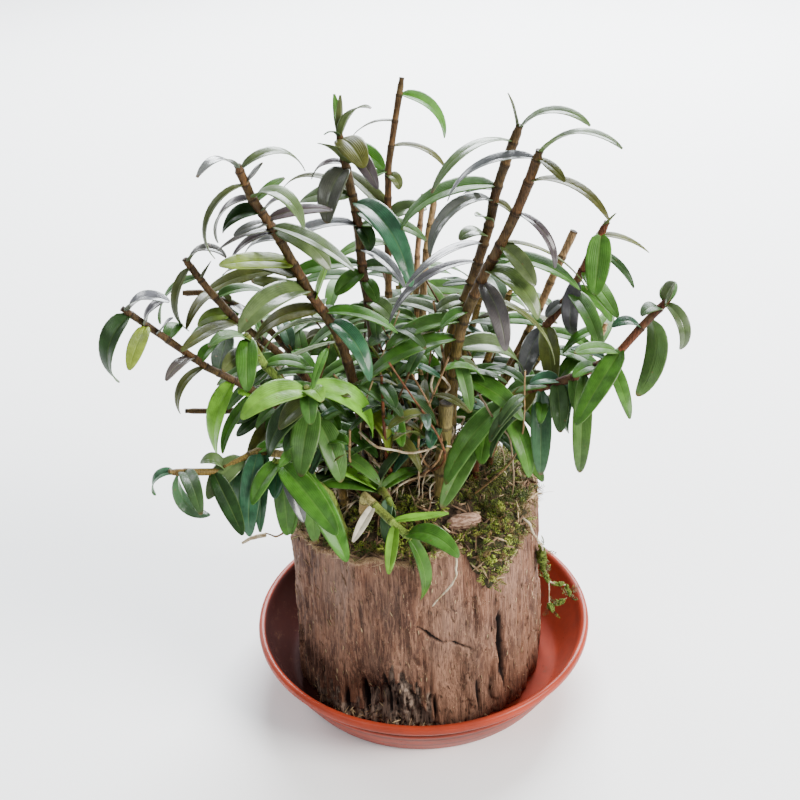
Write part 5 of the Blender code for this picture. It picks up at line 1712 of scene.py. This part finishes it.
def root_paths(looks):
    """The plainly shown roots, then a tangle of thin ones among the canes' feet."""
    dice = random.Random(SEED + 11)
    # Vector noise takes its offsets from this seed, and from the clock without one
    noise.seed_set(SEED)
    paths = []
    for thickness, dark, places in SHOWN_ROOTS:
        way = Way([Vector(place) * MM for place in places], steps=6)
        chance = dark * 0.75 + 0.1
        path = []
        for number, place in enumerate(way.points):
            share = number / (len(way.points) - 1)
            jitter = noise.noise_vector(place * 300) * 0.35 * MM
            radius = thickness / 2 * (1 - 0.45 * share ** 3) * MM * (1 + 0.2 * noise.noise(place * 500))
            path.append((place + jitter, radius, {"along": share, "chance": chance}))
        paths.append(path)
    rooted = [cane for cane in LEAFY_CANES + BARE_CANES if cane.radius > 2]
    for number in range(looks.root_count):
        cane = rooted[number % len(rooted)]
        way = cane_way(cane)
        start = way.at(dice.uniform(11 * MM, min(48 * MM, way.length * 0.5)))
        heading = dice.uniform(-math.pi, math.pi)
        thickness = dice.choice((0.55, 0.7, 0.85, 1.1))
        chance = dice.random()
        places = hanging_root(start, heading, dice.uniform(22, 58) * MM, dice)
        if len(places) < 7:
            continue
        smooth = Way(places[::2], steps=3).points
        path = []
        for step, place in enumerate(smooth):
            share = step / (len(smooth) - 1)
            radius = thickness / 2 * (1 - 0.6 * share ** 2) * MM
            path.append((place, radius, {"along": share, "chance": chance}))
        paths.append(path)
    return paths


def make_roots(looks):
    tree = tube_tree()
    roots = tree.grow("aerial_roots", paths_object("root_paths", root_paths(looks)), Material=root_finish(),
                      Sides=6, Rough=0.12 * MM, Grain=900.0)
    settle(roots, "bed")


# The least and most of a thicket leaf's numbers, in the order of the plan's
THICKET_LEAF = ((50, 100), (0, 360), (-10, 50), (30, 90), (16, 32), (4, 8), (-10, 25))


def make_thicket(looks):
    """Thin old stems with a few small dark leaves, rising between the canes' feet."""
    dice = random.Random(SEED + 23)
    tree = tube_tree()
    material = orchid_finish(looks)
    leaves = Build(*LEAF_VALUES)
    paths = []
    for _ in range(looks.thicket_count):
        angle, away = dice.uniform(0, math.tau), 34 * MM * math.sqrt(dice.random())
        foot = polar(away, angle, 0)
        foot.y = max(foot.y, -12 * MM - abs(foot.x) * 0.3)
        foot.z = bed_height(foot.x, foot.y) - 3 * MM
        aside, back = foot.x * 9 + dice.gauss(0, 0.25), foot.y * 9 + dice.gauss(0, 0.25)
        lean = Vector((aside, min(0.3, back), 1)).normalized()
        tall = dice.uniform(40, 104) * MM
        curl = Vector((dice.gauss(0, 1), min(0.6, dice.gauss(0, 1)), 0)) * tall * 0.12
        way = Way([foot, foot + lean * tall * 0.4 + curl, foot + lean * tall - curl * 0.4], steps=6)
        tone = STEM_TONES[dice.choice("dotsrf")]
        values = {**varied(tone, dice), "chance": dice.random()}
        radius = dice.uniform(0.55, 1.15) * MM
        marks = [way.length * step / 16 for step in range(17)]
        paths.append([(way.at(mark), radius * (1.15 if step % 4 == 0 else 0.95) * (1 - 0.4 * step / 16),
                       {**values, "along": step % 4 / 4}) for step, mark in enumerate(marks)])
        for _ in range(dice.randint(2, 5)):
            leaf = Leaf(*(dice.uniform(low, high) for low, high in THICKET_LEAF))
            spine = Spine(leaf, way.at(leaf.place / 100 * way.length))
            add_leaf(leaves, spine, dice.choice("DDGGTOG"), dice, LEAF_STATIONS[::2])
    stems = tree.grow("thicket_stems", paths_object("thicket_paths", paths), Material=material, Sides=7,
                      Rough=0.1 * MM, Grain=500.0)
    thicket = joined("thicket", [stems, leaves.piece("thicket_leaves", material)], material)
    settle(thicket, "leaf_green")


# Fibres

def make_fibres(looks):
    """Short bent hairs along the torn rim."""
    dice = random.Random(SEED + 17)
    paths = []
    for _ in range(looks.fibre_count):
        angle = dice.uniform(0, math.tau)
        inset = abs(dice.gauss(0, 2.6)) * MM
        radius = log_radius(angle, 1.0) - inset + 0.4 * MM
        place = polar(radius, angle, log_rim(angle) - 0.2 * MM)
        out = level(angle)
        round_it = Vector((-out.y, out.x, 0)) * dice.gauss(0, 1.0)
        heading = out * dice.gauss(0.1, 0.6) + round_it + Vector((0, 0, dice.uniform(-0.2, 0.7)))
        heading.normalize()
        length = dice.uniform(1.5, 6.0) * MM
        bend = Vector((dice.gauss(0, 1), dice.gauss(0, 1), -0.8)) * 0.25
        chance = 0.5 + 0.5 * dice.random()
        path = []
        for share in (0, 0.35, 0.7, 1.0):
            spot = place + (heading + bend * share) * length * share
            path.append((spot, (0.16 - 0.11 * share) * MM, {"chance": chance, "tip": share}))
        paths.append(path)
    tree = tube_tree()
    fibres = tree.grow("rim_fibres", paths_object("fibre_paths", paths), Material=litter_finish(), Sides=3)
    settle(fibres, "bark")


# Stage

FLOOR_HALF = 12.0
FLOOR_Z = -0.4 * MM
# Lamps: place, width and height in metres, share of the window's power, and colour
LAMPS = {
    "window_behind": ((0.35, 1.5, 1.2), (1.4, 0.9), 1.0, (0.92, 0.96, 1.0)),
    "room_left": ((-1.1, -0.9, 1.5), (0.9, 0.9), 0.09, (0.95, 0.98, 1.0)),
    "window_left": ((-1.25, 1.25, 0.95), (0.7, 0.5), 0.10, (0.95, 0.98, 1.0)),
}
FRONT_LAMP = ((1.55, -0.75, 1.05), (0.9, 0.9), (1.0, 0.97, 0.93))
AIM = Vector((0, 0, 0.15))
# The camera as it was fitted to the photograph: focal length and sensor width in millimetres, place in
# metres, and in degrees how far it is tilted up from straight down and turned about its own axis
FOCAL_LENGTH, FILM_WIDTH = 57.96, 36.0
CAMERA_PLACE = (-0.00741, -0.53623, 0.47995)
CAMERA_TILT, CAMERA_ROLL = 59.295, -2.5


def make_stage(looks):
    """Pale floor, soft lights and the camera at the photograph's angle."""
    world = bpy.data.worlds.new("pale studio")
    world.use_nodes = True
    background = world.node_tree.nodes["Background"]
    background.inputs["Color"].default_value = (0.93, 0.95, 1.0, 1.0)
    background.inputs["Strength"].default_value = looks.room_light
    bpy.context.scene.world = world

    build = Build()
    corners = [(x * FLOOR_HALF, y * FLOOR_HALF, FLOOR_Z) for x, y in ((-1, -1), (1, -1), (1, 1), (-1, 1))]
    build.faces.append(tuple(build.point(corner) for corner in corners))
    sheet = Sheet("studio floor")
    colour = sheet.mix(sheet.noise(0.5, 3), (0.86, 0.86, 0.855), (0.90, 0.90, 0.895))
    material = sheet.finish(Base_Color=colour, Roughness=0.75, Specular_IOR_Level=0.2)
    floor = build.piece("studio_floor", material, outwards=False)

    for name, (place, size, share, tint) in LAMPS.items():
        add_light(name, place, size, looks.window_light * share, tint)
    place, size, tint = FRONT_LAMP
    add_light("room_right", place, size, looks.front_light, tint)

    lens = bpy.data.cameras.new("photograph")
    lens.sensor_fit = "HORIZONTAL"
    lens.sensor_width = FILM_WIDTH
    lens.lens = FOCAL_LENGTH
    camera = placed("photograph", lens)
    tilt = Matrix.Rotation(math.radians(CAMERA_TILT), 4, "X")
    roll = Matrix.Rotation(math.radians(CAMERA_ROLL), 4, "Z")
    camera.matrix_world = Matrix.Translation(CAMERA_PLACE) @ tilt @ roll
    bpy.context.scene.camera = camera


def add_light(name, place, size, power, colour):
    light = bpy.data.lights.new(name, "AREA")
    light.shape = "RECTANGLE"
    light.size, light.size_y = size
    light.energy = power
    light.color = colour
    aim = AIM - Vector(place)
    turn = aim.to_track_quat("-Z", "Y").to_matrix().to_4x4()
    placed(name, light).matrix_world = Matrix.Translation(place) @ turn


# What a user can change

def colour_setting(name, description, default):
    return FloatVectorProperty(name=name, description=description, default=default, subtype="COLOR", size=3,
                               min=0.0, max=1.0)


class HolderLooks(bpy.types.PropertyGroup):
    saucer_colour: colour_setting("Saucer", "Colour of the clean plastic", (0.300, 0.032, 0.010))
    saucer_shade: colour_setting("Saucer worn", "Colour of the worn plastic", (0.190, 0.025, 0.011))
    bark_dark: colour_setting("Bark, dark", "Darker colour of the bark", (0.046, 0.017, 0.009))
    bark_light: colour_setting("Bark, light", "Lighter colour of the bark", (0.150, 0.066, 0.036))
    moss_colour: colour_setting("Moss", "Colour of the moss at its tips", (0.290, 0.380, 0.040))
    moss_per_square_metre: FloatProperty(
        name="Moss", description="Sprigs on a square metre of full moss", default=2.8e5, min=0, max=1e6)
    splinters_per_square_metre: FloatProperty(
        name="Splinters", description="Splinters on a square metre of bark", default=2.6e4, min=0, max=3e5)
    fibre_count: IntProperty(
        name="Rim fibres", description="Fibres along the torn rim", default=1500, min=0, max=6000)


class PlantLooks(bpy.types.PropertyGroup):
    leaf_bloom: colour_setting("Leaf bloom", "Pale bloom in patches on some leaves", (0.085, 0.135, 0.055))
    leaf_edge: colour_setting("Leaf edge", "Colour of a leaf's edge and middle line", (0.120, 0.180, 0.045))
    leaf_under: colour_setting("Leaf underside", "Colour that an underside tends to", (0.080, 0.125, 0.045))
    cane_patch: colour_setting("Cane patches", "Colour of the worn patches on canes", (0.130, 0.090, 0.038))
    thicket_count: IntProperty(
        name="Thin stems", description="Thin old stems between the canes", default=42, min=0, max=120)
    root_count: IntProperty(
        name="Thin roots", description="Thin roots among the canes' feet", default=110, min=0, max=300)


class StageLooks(bpy.types.PropertyGroup):
    room_light: FloatProperty(
        name="Room", description="Strength of the pale surroundings", default=0.5, min=0.0)
    window_light: FloatProperty(
        name="Window", description="Power of the large soft light behind", default=160.0, min=0.0,
        subtype="POWER")
    front_light: FloatProperty(
        name="Front", description="Power of the soft light in front", default=98.0, min=0.0, subtype="POWER")


# Operators

class OrchidOperator:
    """What the operators share."""

    bl_options = {"REGISTER", "UNDO"}

    @property
    def holder(self):
        return bpy.context.scene.orchid_holder

    @property
    def plant(self):
        return bpy.context.scene.orchid_plant

    @property
    def stage(self):
        return bpy.context.scene.orchid_stage


class ORCHID_OT_stage(OrchidOperator, bpy.types.Operator):
    """Lay the floor and set up the lights and the camera"""

    bl_idname = "orchid.stage"
    bl_label = "Stage"

    def execute(self, context):
        make_stage(self.stage)
        return {"FINISHED"}


class ORCHID_OT_saucer(OrchidOperator, bpy.types.Operator):
    """Turn the saucer's moulding with its ridges"""

    bl_idname = "orchid.saucer"
    bl_label = "Saucer"

    def execute(self, context):
        make_saucer(self.holder)
        return {"FINISHED"}


class ORCHID_OT_log(OrchidOperator, bpy.types.Operator):
    """Make the hollow log's bark, its splinters and the fibres of its torn rim"""

    bl_idname = "orchid.log"
    bl_label = "Hollow log"

    def execute(self, context):
        log = make_log(self.holder)
        make_splinters(self.holder, log)
        make_fibres(self.holder)
        return {"FINISHED"}


class ORCHID_OT_bed(OrchidOperator, bpy.types.Operator):
    """Fill the log with bark mix, and lay its litter, its moss and the loose chip on it"""

    bl_idname = "orchid.bed"
    bl_label = "Growing bed"

    def execute(self, context):
        bed = make_bed()
        log = bpy.data.objects["log_bark"]
        make_moss(self.holder, bed, log)
        make_litter(bed, log)
        make_chip()
        return {"FINISHED"}


class ORCHID_OT_canes(OrchidOperator, bpy.types.Operator):
    """Grow every cane with its leaves, and the old bare ones"""

    bl_idname = "orchid.canes"
    bl_label = "Canes and leaves"

    def execute(self, context):
        material = orchid_finish(self.plant)
        tree = tube_tree()
        for cane in LEAFY_CANES:
            make_cane(f"{cane.name}_plant", [cane], slot_for(cane), material, tree)
        fan = back_fan(list(LEAFY_CANES) + list(BARE_CANES))
        make_cane("fan_right_plant", fan[:len(fan) // 2], "leaf_green", material, tree)
        make_cane("fan_left_plant", fan[len(fan) // 2:], "leaf_green", material, tree)
        make_cane("bare_canes", list(BARE_CANES), "old_cane", material, tree)
        return {"FINISHED"}


class ORCHID_OT_roots(OrchidOperator, bpy.types.Operator):
    """Hang the aerial roots over the bed and the rim, and raise the thin old stems among the canes' feet"""

    bl_idname = "orchid.roots"
    bl_label = "Aerial roots"

    def execute(self, context):
        make_roots(self.plant)
        make_thicket(self.plant)
        return {"FINISHED"}


class ORCHID_PT_panel(bpy.types.Panel):
    """Colours, counts, lights and steps of the potted orchid"""

    bl_idname = "ORCHID_PT_panel"
    bl_label = "Potted Dendrobium"
    bl_space_type = "VIEW_3D"
    bl_region_type = "UI"
    bl_category = "Orchid"

    def draw(self, context):
        scene = context.scene
        for group in (scene.orchid_holder, scene.orchid_plant, scene.orchid_stage):
            box = self.layout.box()
            for name in group.__annotations__:
                box.prop(group, name)
        for operator in STEPS:
            self.layout.operator(operator.bl_idname)


STEPS = (ORCHID_OT_stage, ORCHID_OT_saucer, ORCHID_OT_log, ORCHID_OT_bed, ORCHID_OT_canes, ORCHID_OT_roots)
CLASSES = (HolderLooks, PlantLooks, StageLooks) + STEPS + (ORCHID_PT_panel,)


def register():
    for item in CLASSES:
        bpy.utils.register_class(item)
    bpy.types.Scene.orchid_holder = PointerProperty(type=HolderLooks)
    bpy.types.Scene.orchid_plant = PointerProperty(type=PlantLooks)
    bpy.types.Scene.orchid_stage = PointerProperty(type=StageLooks)


def unregister():
    del bpy.types.Scene.orchid_stage
    del bpy.types.Scene.orchid_plant
    del bpy.types.Scene.orchid_holder
    for item in reversed(CLASSES):
        bpy.utils.unregister_class(item)


def main():
    register()
    bpy.ops.orchid.stage()
    bpy.ops.orchid.saucer()
    bpy.ops.orchid.log()
    bpy.ops.orchid.bed()
    bpy.ops.orchid.canes()
    bpy.ops.orchid.roots()


if __name__ == "__main__":
    main()
